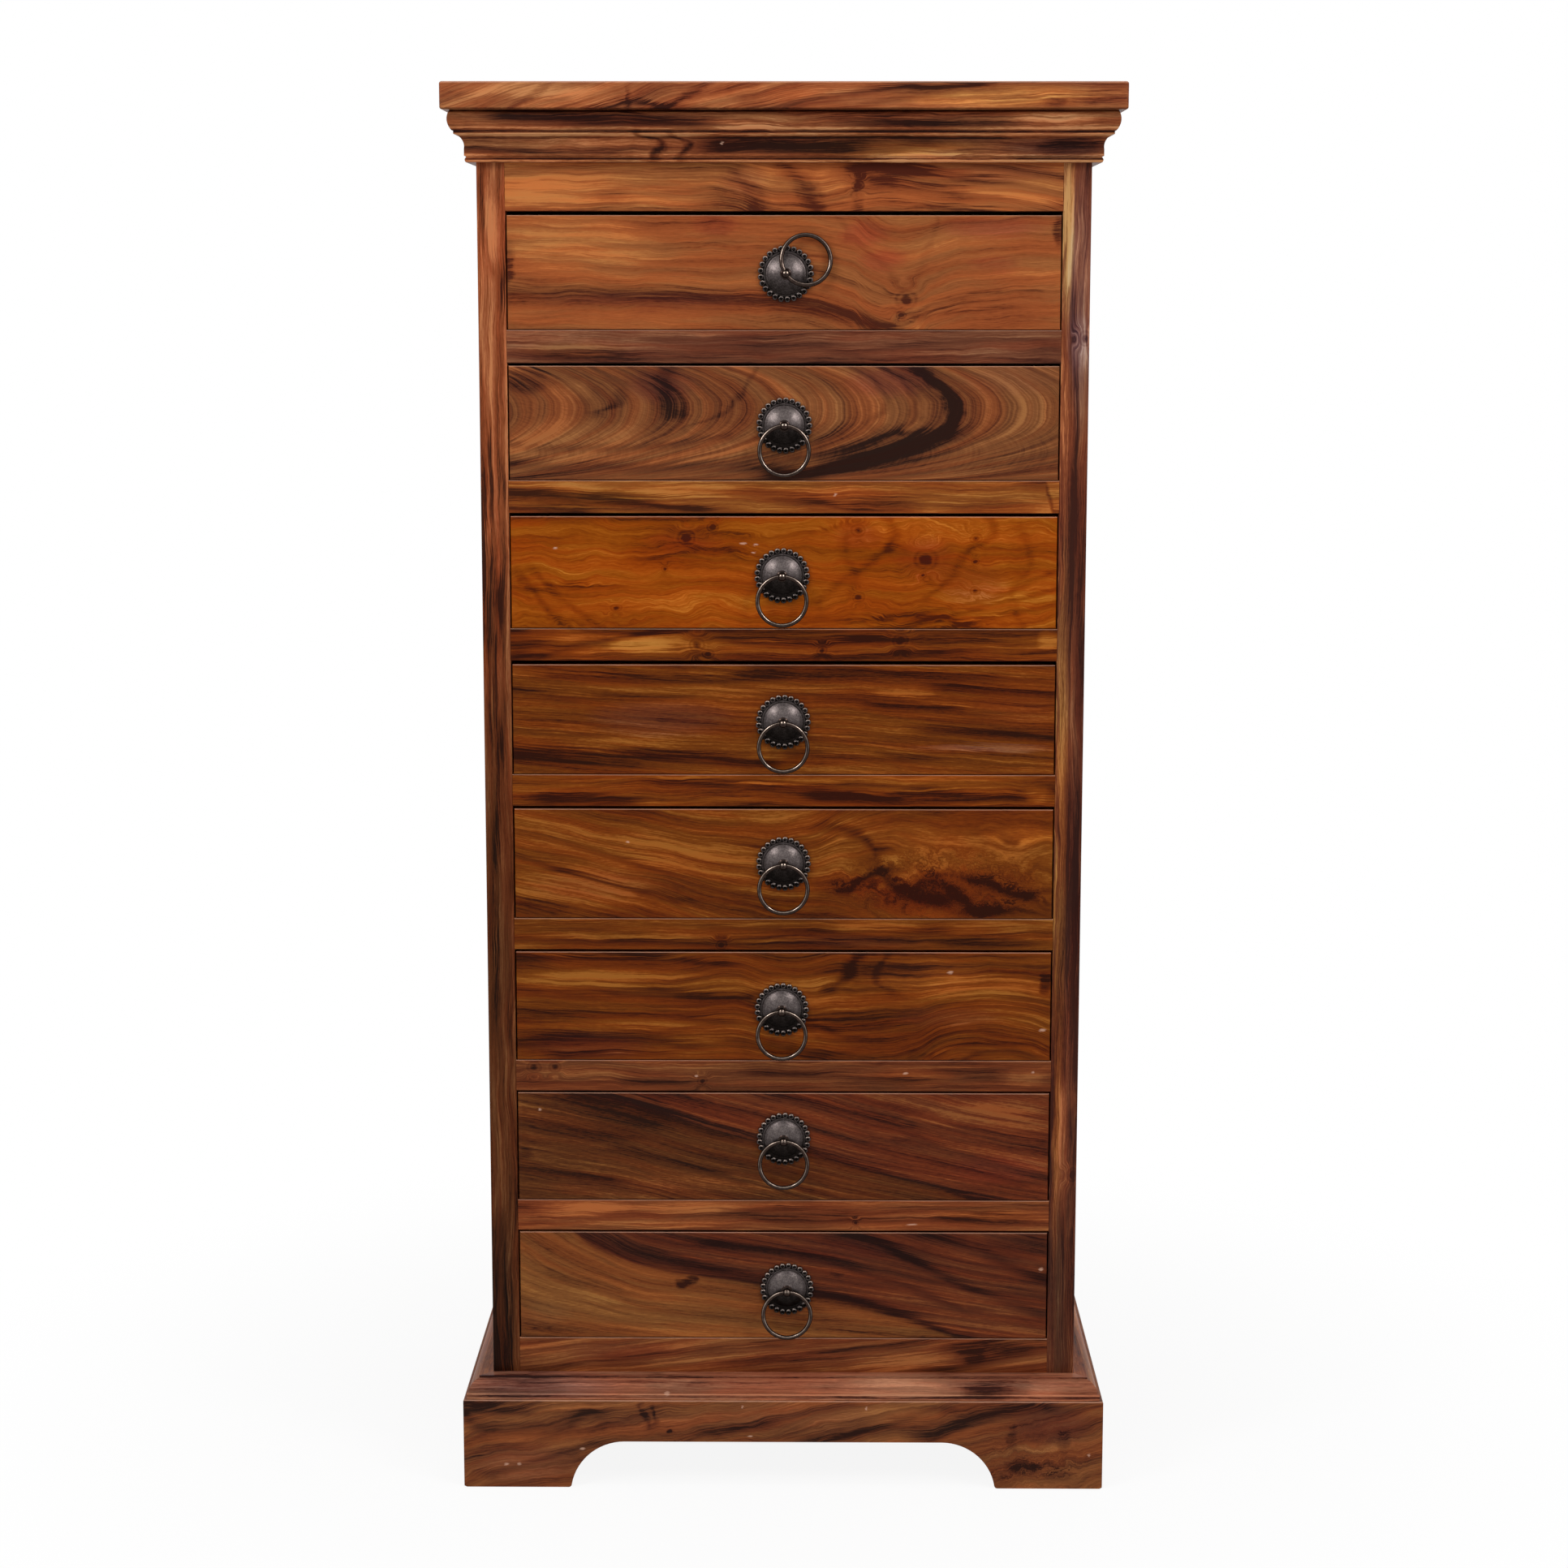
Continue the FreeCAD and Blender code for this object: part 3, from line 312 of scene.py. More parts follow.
def wood(name, figure, axes="XZY", middle=0.0, front=None, outwards=False):
    """A board's material: figured, close-grained rosewood under a thin satin lacquer.

    The axes run along the grain, across it and into the board; v is measured from middle.
    With front, the depth of a board's front face, the figure goes on round its upper edge, or
    with outwards round the edge that is further from the middle, and back along that side.
    """
    graph = Graph(bpy.data.materials.new(f"{name}_wood"))
    seed, contrast, grain = figure.seed, figure.contrast, figure.grain
    u, v, w = graph.position(axes)
    v = v - middle
    if front is not None:
        back = w - front
        v = v + (graph.math("SIGN", v) * back if outwards else back)
    course = course_of(graph, figure, u, v)

    broad = graph.noise(u * 0.003, course * 0.05, w * 0.05 + seed, 2, 0.5)
    lines = graph.noise(u * 0.006, course * 0.24, w * 0.2 + seed + 3, 4, 0.6)
    fine = graph.noise(u * 0.02, course * 1.0, w * 0.9 + seed + 7, 3, 0.65)
    dashes = graph.noise(u * 0.14, course * 0.5 + v * 0.9, w * 1.4 + seed + 1, 2, 0.6)
    tone = 0.53 + (broad * 1.9 + lines * 1.7 + fine * 1.5) * contrast + dashes * (0.55 * grain)

    wander = lines * 18 + fine * 8
    crossing_wander = graph.noise(u * 0.06, v * 0.06, seed + 2, 4, 0.6) * 18
    uneven_u, uneven_v = u + crossing_wander, v + wander
    streaks = 0.95 + lines * 2.6 + dashes * 0.6
    for *mark, strength in figure.veins:
        tone = tone - vein(graph, u, v, *mark, wander, crossing=False) * streaks * strength
    for *mark, strength in figure.crossing:
        tone = tone - vein(graph, u, v, *mark, crossing_wander, crossing=True) * streaks * strength
    for *where, change in figure.patches:
        tone = tone + spot(graph, uneven_u, uneven_v, *where) * change
    for cu, cv, radius in figure.knots:
        du, dv = u - cu + crossing_wander * 0.5, (v - cv + wander * 0.12) * 1.2
        tone = tone + knot_tone(graph, du, dv, radius)
    pits = graph.smooth(dashes, 0.13, 0.3)
    tone = tone - pits * (0.22 * grain)
    # Painted shade and painted highlight along the lines of a moulding.
    for line, half_width, change in figure.shading_lines:
        tone = tone + graph.smooth(abs(v - line), half_width, half_width * 0.4) * (change + dashes * 0.3)
    tone = graph.math("ADD", tone, 0.0, clamp=True)

    colour = graph.ramp(tone, figure.wood)
    if figure.divide:
        share = graph.smooth(v - graph.curve(u, figure.divide) + wander, -3, 3)
        colour = graph.mix(share, colour, graph.ramp(tone, figure.upper))
    for low, high, shades in figure.layers:
        share = graph.math("GREATER_THAN", v, low) * graph.math("LESS_THAN", v, high)
        colour = graph.mix(share, colour, graph.ramp(tone, shades))
    blush = graph.noise(u * 0.007, course * 0.09, w * 0.06 + seed + 13, 3, 0.6)
    flush = graph.mix(graph.smooth(blush * figure.blush, -0.13, 0.13), REDDENED, GILDED)
    colour = graph.mix(1.0, colour, flush, blend="MULTIPLY")
    for *where, tint, strength in figure.tints:
        share = spot(graph, uneven_u, uneven_v, *where) * strength * (1.4 + lines * 2.0)
        usual = figure.wood_at(where[1])[2]
        ratio = [wanted / had for wanted, had in zip(srgb(*tint), srgb(*usual))]
        colour = graph.mix(share, colour, ratio, blend="MULTIPLY")
    scuff_u, scuff_v = u + dashes * 4 + fine * 6, v + fine * 4
    for cu, cv, half_length, half_width in figure.scuffs:
        mark = spot(graph, scuff_u, scuff_v, cu, cv, half_length * 1.3, half_width * 1.3)
        colour = graph.mix(mark * 0.6, colour, SCUFF)
    # Painted highlight on eased edges that face up and painted shade on those that face down.
    if figure.painted_light:
        colour = painted_edge_light(graph, colour, fine)

    relief = graph.bump(lines * 0.5 - pits * 0.6, 0.09)
    return graph.finish(Base_Color=colour, Roughness=0.4 + pits * 0.15 + lines * 0.2,
                        Specular_IOR_Level=0.05, Normal=relief)


def painted_edge_light(graph, colour, uneven):
    """A painted highlight, with some lacquer rubbed off, on eased edges facing up; painted shade on those
    facing down.
    """
    split = graph.node("SeparateXYZ", {0: graph.field("NewGeometry", output="True Normal")})
    out, up = abs(Field(graph, split.outputs[1])), Field(graph, split.outputs[2])
    eased = graph.smooth(out, 0.99, 0.9) * graph.smooth(out, 0.05, 0.3)
    colour = graph.mix(eased * graph.smooth(up + uneven, 0.1, 0.5) * 0.5, colour, EDGE_HIGHLIGHT)
    return graph.mix(eased * graph.smooth(up, -0.1, -0.5) * 0.5, colour, EDGE_SHADE)


def middle_of(node):
    """The height of a CAD node's middle, in mm."""
    low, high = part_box(node)
    return (low.z + high.z) / 2 / MM


def front_of(node):
    """The depth of a CAD node's front, in mm."""
    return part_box(node)[0].y / MM


def dress(material, *nodes):
    """Give CAD nodes a material in every slot."""
    for node in nodes:
        thing = frame["nodes"][node]
        if not thing.material_slots:
            thing.data.materials.append(material)
        for slot in thing.material_slots:
            slot.material = material


def rail_height(number):
    """The height of a rail's middle, from the highest, rail 1, to the lowest, rail 7."""
    return RAIL_4 + (4 - number) * PITCH


def along_rails(marks):
    """A board's marks from marks that give a rail's number first, and v from the rail's middle."""
    placed = []
    for number, first, *rest in marks:
        lift = rail_height(number)
        if isinstance(first, list):
            placed.append(([(u, v + lift) for u, v in first], *rest))
        else:
            placed.append((first, rest[0] + lift, *rest[1:]))
    return placed


# The distance from rail to rail, and the height of the middle one.
PITCH, RAIL_4 = 133.2, middle_of("drawer_rails")
RAIL_WOODS = [PLUM, toned(TAWNY, 0.93), toned(RUSSET, 1.1), toned(RUSSET, 1.1), toned(RUSSET, 0.95),
              toned(UMBER, 0.97), toned(UMBER, 1.12)]

# The drawer fronts, from 1, the highest, to 8.
FRONTS = {}
FRONTS[1] = Figure(
    HONEY, 11, contrast=0.55, grain=1.2, waviness=0.8,
    head=[(-246, 0), (0, 0), (60, -4), (110, -14), (160, -8), (246, -6)],
    foot=[(-246, 0), (-60, -2), (20, -10), (60, -22), (100, -40), (130, -28), (180, -16), (246, -12)],
    veins=[
        ([(-246, -19), (-160, -20), (-60, -22), (-20, -24), (20, -28), (60, -38), (90, -48)], 15, 15, 0.5),
        ([(-246, 42), (-150, 38), (-60, 42), (20, 40)], 4, 3, 0.2),
        ([(-246, 26), (-160, 22), (-80, 26), (-20, 22)], 3, 3, 0.22),
        ([(-246, 12), (-170, 15), (-90, 10), (-30, 12)], 3, 3, 0.22),
        ([(-246, 0), (-160, 3), (-60, -2)], 3, 3, 0.2), ([(30, 2), (70, -12), (104, -24)], 5, 3, 0.3),
        ([(30, -10), (70, -24), (100, -34)], 5, 3, 0.3),
        ([(114, -36), (140, -24), (190, -16), (246, -14)], 3, 3, 0.3),
        ([(104, -46), (135, -36), (190, -30)], 3, 3, 0.3),
    ],
    crossing=[
        ([(46, 50), (60, 30), (84, 10), (104, -12)], 9, 6, 0.14),
        ([(136, 46), (128, 20), (114, -10)], 8, 5, 0.12),
    ],
    patches=[
        (-246, 8, 10, 24, -0.5), (244, 35, 9, 16, -0.5), (150, 25, 70, 25, 0.1), (-130, -42, 110, 10, 0.2),
        (-60, 40, 18, 12, -0.15), (110, -47, 18, 5, 0.35), (-187, 24, 90, 34, 0.35),
        (190, -24, 80, 30, -0.2),
    ],
    tints=[
        (70, 35, 26, 14, (138, 60, 36), 0.5), (88, 12, 26, 12, (136, 58, 36), 0.45),
        (185, 40, 60, 12, (134, 60, 38), 0.5), (-120, -24, 130, 9, (106, 48, 36), 0.4),
        (-60, 42, 26, 12, (136, 64, 38), 0.5), (185, 8, 30, 8, (136, 62, 38), 0.35),
    ],
    knots=[(109, -24, 4), (103, -37, 1.6)],
)
FRONTS[2] = Figure(
    GOLD, 23, unrest=8,
    arch=[
        (-60, -280), (-52, -100), (-46, -10), (-34, 62), (-18, 120), (0, 150), (15, 154), (28, 146),
        (42, 124), (60, 74),
    ],
    veins=[
        ([(-246, -18), (-200, -22), (-120, -20), (-60, -12)], 6, 5, 0.35),
        ([(-246, -36), (-150, -40), (-60, -38), (-10, -40)], 10, 8, 0.45),
        ([(0, -48), (30, -42), (60, -34), (90, -26), (120, -17), (142, -8)], 12, 11, 0.55),
        ([(-20, -32), (20, -28), (60, -20), (100, -8)], 7, 4, 0.3),
    ],
    crossing=[
        ([(115, 52), (130, 40), (148, 25), (153, 15), (150, 0), (140, -10)], 12, 15, 0.58),
        ([(-172, 50), (-150, 38), (-143, 28), (-147, 18), (-168, 10)], 11, 11, 0.32),
        ([(-100, 50), (-106, 38), (-104, 20), (-98, 8)], 18, 14, 0.28),
        ([(86, 50), (112, 30), (118, 10), (100, -6)], 10, 8, 0.35),
        ([(60, 50), (84, 34), (90, 16), (76, 0)], 7, 6, 0.25),
        ([(-24, 50), (-36, 30), (-52, 10), (-90, -4)], 7, 5, 0.25),
    ],
    patches=[
        (-228, 38, 30, 16, -0.5), (200, -24, 80, 32, -0.12), (88, -26, 80, 30, -0.4),
        (-187, -24, 90, 34, 0.35), (-88, -22, 80, 30, 0.2), (40, 15, 40, 20, 0.15), (-185, 30, 16, 12, 0.2),
        (-200, -50, 60, 8, -0.3),
    ],
    tints=[
        (95, 38, 50, 18, (98, 44, 32), 0.5), (-110, 34, 40, 20, (92, 42, 32), 0.4),
        (200, 40, 60, 18, (104, 56, 36), 0.3),
    ],
)
FRONTS[3] = Figure(
    AMBER, 31, contrast=0.6, grain=1.2, waviness=1.3, unrest=24,
    veins=[
        ([(-240, 51), (-100, 49), (-40, 51)], 10, 6, 0.5), ([(-190, -11), (-165, -11)], 5, 4, 0.45),
        ([(100, -50), (160, -36), (246, -14)], 4, 4, 0.4),
        ([(140, -50), (190, -40), (246, -28)], 4, 4, 0.4),
        ([(30, -25), (50, -10), (75, 6), (93, 22)], 8, 8, 0.24),
        ([(60, -44), (120, -40), (170, -48)], 4, 4, 0.35),
        ([(-60, 36), (-20, 32), (20, 36), (60, 44)], 4, 4, 0.25),
        ([(-120, 12), (-70, 20), (-30, 10)], 4, 4, 0.25), ([(120, -38), (180, -24), (246, 2)], 4, 4, 0.3),
    ],
    crossing=[
        ([(-240, 2), (-215, -30), (-195, -52)], 8, 8, 0.26),
        ([(-228, 4), (-198, -25), (-165, -50)], 8, 8, 0.22),
        ([(128, -22), (150, -6), (158, 10), (168, 21), (182, 28), (188, 38), (184, 48)], 8, 8, 0.26),
        ([(93, 22), (99, 35), (92, 50)], 9, 9, 0.28),
        ([(216, -50), (206, -20), (222, 10), (212, 40)], 7, 7, 0.16),
        ([(60, -20), (64, 0), (54, 18), (58, 36)], 8, 8, 0.18),
    ],
    patches=[
        (-60, -30, 90, 14, 0.12), (-170, 20, 50, 14, 0.15), (30, 10, 40, 20, 0.12),
        (215, 10, 20, 30, -0.12), (-88, 24, 80, 30, -0.25), (200, -28, 80, 28, 0.3),
    ],
    tints=[
        (128, 12, 34, 26, (126, 48, 10), 0.4), (170, -10, 40, 24, (124, 48, 10), 0.3),
        (-90, 30, 40, 16, (122, 46, 12), 0.35), (67, 34, 26, 16, (124, 48, 10), 0.3),
    ],
    knots=[
        (-87, 31, 3.2), (-64, 41, 2.2), (-107, 3, 1.4), (-151, -32, 1.8), (128, 12, 4.4), (126, -2, 1.4),
        (67, 38, 2.6), (68, -22, 2.2), (172, -16, 1.8), (172, 10, 1.4), (173, 31, 2.2),
    ],
    scuffs=[(-37, 26, 3, 0.9), (-25, 25, 2.2, 0.8), (-27, 18, 1.8, 0.8), (-205, 22, 2, 0.9)],
)
FRONTS[4] = Figure(
    RUSSET, 43, grain=1.5, waviness=0.35,
    head=[(-246, 15), (246, -15)],
    veins=[
        ([(-246, -31), (-160, -35), (-60, -38), (-20, -40)], 13, 6, 0.75),
        ([(-20, 51), (20, 48), (100, 43), (180, 40)], 11, 6, 0.38), ([(95, 14), (145, 12)], 8, 6, 0.5),
        ([(0, 24), (70, 21)], 7, 5, 0.4), ([(-200, 40), (-100, 36), (-20, 38)], 7, 5, 0.4),
        ([(140, -8), (246, -16)], 6, 6, 0.4), ([(-246, -10), (-180, -14)], 5, 4, 0.35),
        ([(20, -30), (120, -36)], 6, 5, 0.35), ([(-246, 26), (-170, 20), (-100, 22)], 5, 4, 0.3),
        ([(150, 30), (246, 24)], 5, 5, 0.35),
    ],
    patches=[(110, 26, 40, 7, 0.35), (-150, -22, 70, 7, 0.3), (60, -10, 90, 8, 0.2), (-60, 46, 40, 6, 0.3)],
    tints=[
        (-110, 2, 80, 20, (98, 54, 34), 0.35), (180, -25, 70, 5, (150, 98, 66), 0.35),
        (210, 10, 50, 20, (104, 46, 14), 0.3),
    ],
)
FRONTS[5] = Figure(
    RUSSET, 59, contrast=0.7, grain=1.3,
    head=[(-246, 28), (-120, 2), (-40, -8), (20, 0), (60, 15), (120, 22), (246, 22)],
    foot=[(-246, 40), (-120, 5), (-20, -22), (60, -30), (120, -45), (246, -60)],
    veins=[
        ([(-200, -5), (-150, -20), (-100, -35)], 5, 5, 0.4),
        ([(-246, 8), (-180, -12), (-130, -26)], 5, 5, 0.3),
        ([(-246, 32), (-180, 14), (-120, -4), (-60, -18)], 4, 4, 0.3),
        ([(50, 34), (70, 26), (84, 14)], 8, 9, 0.55), ([(60, -24), (80, -8), (96, -2)], 8, 7, 0.55),
        ([(84, 4), (100, -16), (118, -26), (140, -34)], 14, 13, 0.48),
        ([(140, -14), (160, -28), (176, -44)], 11, 12, 0.48),
        ([(176, -46), (205, -44), (246, -46)], 10, 12, 0.5),
        ([(150, -8), (190, -20), (240, -36)], 6, 8, 0.4), ([(190, -14), (214, -30), (240, -24)], 6, 6, 0.4),
    ],
    patches=[
        (20, 35, 90, 18, 0.3), (100, 9, 12, 7, 0.12), (117, -8, 12, 7, 0.12), (205, -30, 14, 7, 0.1),
        (-88, 22, 80, 30, 0.25), (-187, -22, 90, 30, 0.4), (88, -26, 80, 28, -0.3),
        (187, -26, 80, 28, -0.3), (-225, -42, 40, 14, -0.35), (150, -30, 90, 26, -0.12),
    ],
    tints=[
        (220, 26, 40, 8, (140, 70, 18), 0.5), (120, 24, 60, 18, (116, 54, 12), 0.4),
        (150, -26, 110, 30, (110, 44, 8), 0.6), (-160, -20, 90, 18, (92, 38, 12), 0.3),
    ],
    burls=[(140, -20, 115, 40, 46)],
    scuffs=[(-142, 20, 1.8, 1.2)],
)
FRONTS[6] = Figure(
    RUSSET, 67, waviness=0.6,
    head=[(-246, 6), (-120, 0), (-60, 4), (0, -8), (60, 0), (246, 0)],
    foot=[(-246, 0), (-60, 0), (0, -8), (60, -18), (120, -14), (180, 6), (246, -8)],
    veins=[
        ([(-246, 14), (-180, 10), (-120, 13), (-60, 9), (-20, 12)], 8, 6, 0.45),
        ([(-246, 44), (-150, 46), (-60, 40)], 6, 5, 0.35),
        ([(-180, -5), (-140, -8), (-60, -12)], 4, 4, 0.35),
        ([(-246, -34), (-160, -30), (-90, -36)], 8, 7, 0.4), ([(-200, -46), (-120, -44)], 6, 5, 0.35),
        ([(-40, -30), (0, -37), (40, -45)], 7, 6, 0.4), ([(-60, -16), (0, -14), (60, -28)], 5, 5, 0.25),
        ([(140, -46), (180, -34), (220, -34), (240, -40)], 4, 4, 0.3),
        ([(160, -52), (196, -42), (230, -48)], 4, 4, 0.3),
    ],
    crossing=[
        ([(74, 52), (64, 40), (56, 26), (40, 16)], 12, 10, 0.45),
        ([(96, 50), (86, 30), (100, 14)], 9, 7, 0.25),
    ],
    patches=[
        (-150, 28, 100, 8, 0.45), (-150, -18, 80, 7, 0.25), (170, 22, 85, 24, 0.15), (20, 24, 50, 9, 0.3),
        (240, 22, 7, 12, -0.6), (200, -32, 60, 16, -0.1), (-187, 22, 80, 30, 0.15), (88, 24, 70, 26, -0.2),
        (88, -24, 80, 28, -0.3),
    ],
    tints=[
        (130, 30, 70, 20, (134, 66, 20), 0.4), (-180, -36, 70, 16, (84, 38, 22), 0.35),
        (150, -10, 60, 12, (92, 44, 22), 0.3),
    ],
    scuffs=[(153, 32, 2.4, 1.4), (238, -22, 3, 1.2)],
)
FRONTS[7] = Figure(
    OLIVE, 71, grain=1.9, waviness=0.3,
    head=[(-246, 62), (-180, 50), (-100, 28), (-20, 6), (20, -4), (100, -27), (180, -50), (246, -66)],
    foot=[(-246, 40), (-180, 34), (-100, 20), (-20, 6), (20, -4), (100, -22), (180, -38), (246, -50)],
    divide=[(-246, 64), (-180, 50), (-100, 28), (-20, 6), (20, -4), (100, -27), (180, -50), (246, -66)],
    upper=[(38, 16, 11), (76, 33, 18), (94, 43, 22), (108, 53, 27), (136, 78, 40)],
    veins=[
        ([(-185, 51), (-130, 40), (-100, 28), (-60, 15), (-20, 6), (20, -4), (60, -15), (100, -27),
          (140, -37), (180, -50)], 14, 5, 0.48),
        ([(-100, 50), (-20, 30), (60, 8), (140, -14), (220, -34)], 6, 5, 0.35),
        ([(0, 48), (60, 34), (110, 20)], 7, 5, 0.35), ([(120, 8), (180, -10), (246, -28)], 6, 5, 0.35),
        ([(-246, 26), (-200, 18), (-150, 8)], 5, 4, 0.3), ([(-240, -20), (-160, -34)], 6, 6, 0.3),
        ([(-150, -4), (-90, -18), (-40, -32)], 5, 5, 0.3),
    ],
    patches=[
        (210, 38, 50, 12, 0.35), (140, 26, 40, 10, 0.2), (-240, -8, 9, 8, -0.4), (-60, -35, 120, 12, 0.2),
        (-187, 26, 100, 32, -0.38), (-88, 24, 80, 30, -0.15), (187, 22, 80, 30, 0.2),
        (-187, -26, 90, 28, -0.1),
    ],
    tints=[(-150, -40, 90, 12, (88, 42, 20), 0.35), (200, -20, 60, 18, (92, 38, 22), 0.3)],
    scuffs=[(-225, 35, 1.6, 1.6)],
)
FRONTS[8] = Figure(
    toned(CHESTNUT, 1.03), 83, contrast=0.7, grain=1.4, waviness=0.3, upper=MAHOGANY,
    head=[(-246, 66), (-180, 42), (-120, 17), (-40, 3), (30, -10), (100, -28), (160, -50), (246, -75)],
    foot=[(-246, 12), (-60, 0), (100, -10), (246, -30)],
    divide=[
        (-246, 80), (-195, 50), (-180, 38), (-150, 25), (-120, 17), (-80, 10), (-40, 3), (30, -10),
        (60, -17), (100, -28), (140, -42), (170, -54), (246, -80),
    ],
    veins=[
        ([(-195, 58), (-180, 46), (-150, 33), (-120, 24), (-80, 16), (-40, 8), (30, -7), (60, -14),
          (100, -26), (140, -40), (160, -49)], 18, 7, 0.55),
        ([(60, 50), (80, 45), (120, 25), (180, -5), (240, -25)], 9, 8, 0.5),
        ([(-60, 40), (20, 30), (90, 8), (170, -24)], 6, 6, 0.35),
        ([(140, 50), (190, 30), (246, 6)], 9, 9, 0.4), ([(-240, 34), (-210, 10), (-150, -8)], 4, 4, 0.25),
        ([(-150, -20), (-60, -32), (40, -40)], 4, 4, 0.25),
    ],
    patches=[
        (220, 38, 50, 18, -0.3), (50, 10, 6, 4, -0.4), (-150, -20, 110, 25, 0.15),
        (-60, -40, 120, 12, 0.15), (-94, 1, 9, 6, -0.5), (-86, 4, 8, 7, -0.5), (187, 22, 70, 30, 0.2),
        (140, -24, 120, 28, 0.22),
    ],
    tints=[(60, 34, 70, 14, (94, 42, 24), 0.4), (-225, -30, 30, 20, (118, 74, 42), 0.3)],
    scuffs=[(240, 16, 1.8, 1.8)],
)
RAILS = Figure(
    RUSSET, 131, contrast=0.9, waviness=0.4, unrest=6,
    layers=[(rail_height(number) - PITCH / 2, rail_height(number) + PITCH / 2, shades)
            for number, shades in enumerate(RAIL_WOODS, 1)],
    veins=along_rails([
        (1, [(-110, 4), (-40, 1), (30, 4)], 13, 8, 0.35), (1, [(-200, -8), (-60, -8)], 5, 5, 0.35),
        (1, [(60, -4), (140, 4), (240, 8)], 5, 5, 0.3),
        (2, [(-240, 4), (-160, -2), (-80, -11)], 7, 6, 0.55), (2, [(-246, -8), (-190, -12)], 6, 5, 0.5),
        (2, [(-160, 12), (-60, 6), (20, -4)], 5, 5, 0.35), (2, [(-20, 8), (30, -2), (60, -12)], 6, 6, 0.3),
        (2, [(234, 12), (242, -12)], 9, 9, 0.5), (3, [(-246, 0), (-225, 2)], 26, 14, 0.6),
        (3, [(-220, -10), (-150, 6), (-110, 14)], 5, 5, 0.4), (3, [(-60, 6), (0, 2), (80, 6)], 6, 5, 0.35),
        (3, [(40, -10), (110, -8), (200, -4)], 5, 5, 0.35), (3, [(-246, 13), (246, 13)], 4, 4, 0.35),
        (4, [(-210, -8), (-150, -9)], 9, 8, 0.6), (4, [(40, -4), (90, -7)], 8, 7, 0.45),
        (4, [(-100, 8), (0, 4), (80, 6)], 5, 5, 0.35), (4, [(120, -2), (220, -6)], 6, 5, 0.35),
        (5, [(-246, -4), (-100, -8), (40, -8)], 6, 5, 0.4), (5, [(-60, 6), (60, 4), (180, 6)], 5, 5, 0.35),
        (6, [(-240, -8), (-100, -6)], 6, 5, 0.35), (6, [(-20, 2), (120, -2)], 5, 5, 0.35),
        (7, [(-246, 6), (-100, 2), (0, 6)], 5, 5, 0.3), (7, [(0, -6), (160, -4)], 6, 5, 0.35),
    ]),
    patches=along_rails([
        (1, -190, 2, 60, 8, 0.25), (1, 180, 0, 60, 10, 0.2), (2, -160, 6, 90, 9, 0.3),
        (3, -130, 0, 38, 10, 0.45), (4, 230, -4, 18, 8, 0.5), (4, 10, 9, 60, 4, 0.3),
        (5, -100, 2, 140, 7, 0.25), (6, 220, 0, 28, 12, 0.4), (3, 238, 4, 12, 12, 0.4),
        (7, -120, -8, 90, 5, 0.2), (1, -88, 0, 70, 22, 0.4), (2, -88, 7, 60, 9, 0.45),
        (2, 187, -7, 60, 9, -0.45), (2, 88, -7, 50, 9, -0.35), (3, -88, 5, 50, 12, 0.25),
        (3, 187, -6, 50, 8, 0.2), (4, 187, 5, 60, 12, 0.3), (5, 88, 7, 60, 8, 0.4), (5, 187, 7, 60, 8, 0.5),
        (5, 187, -7, 60, 8, -0.4), (6, 187, 6, 60, 9, -0.35), (6, -187, 0, 60, 14, 0.3),
        (6, 88, -7, 50, 8, -0.25), (7, -187, 6, 60, 10, 0.55), (7, -88, 7, 60, 9, 0.35),
        (7, 187, -4, 60, 10, -0.4),
    ]),
    knots=along_rails([
        (3, -78, 0, 3), (3, -68, -8, 2), (3, 35, -5, 2), (3, 106, 4, 3), (5, -57, -10, 2.2),
        (6, -230, 8, 2.6), (6, -211, 8, 2.4), (6, -75, -5, 2), (7, 67, -7, 1.4),
    ]),
    tints=along_rails([
        (1, -70, 4, 70, 10, (86, 42, 28), 0.5), (1, -190, -4, 60, 9, (98, 52, 24), 0.35),
        (2, -180, -2, 80, 12, (110, 60, 18), 0.5), (2, 60, 0, 60, 12, (124, 56, 20), 0.4),
        (3, -140, 0, 50, 10, (126, 66, 18), 0.5), (5, 60, -6, 90, 8, (84, 38, 18), 0.4),
        (6, 120, 0, 50, 10, (112, 54, 24), 0.4), (7, 190, 0, 60, 10, (122, 66, 30), 0.4),
    ]),
    scuffs=along_rails([
        (2, 46, 2, 1.4, 1), (6, -80, 0, 1.6, 1), (6, 113, 3, 2.2, 1), (6, 230, 4, 1.4, 1),
        (7, 120, -8, 5, 0.7),
    ]),
)
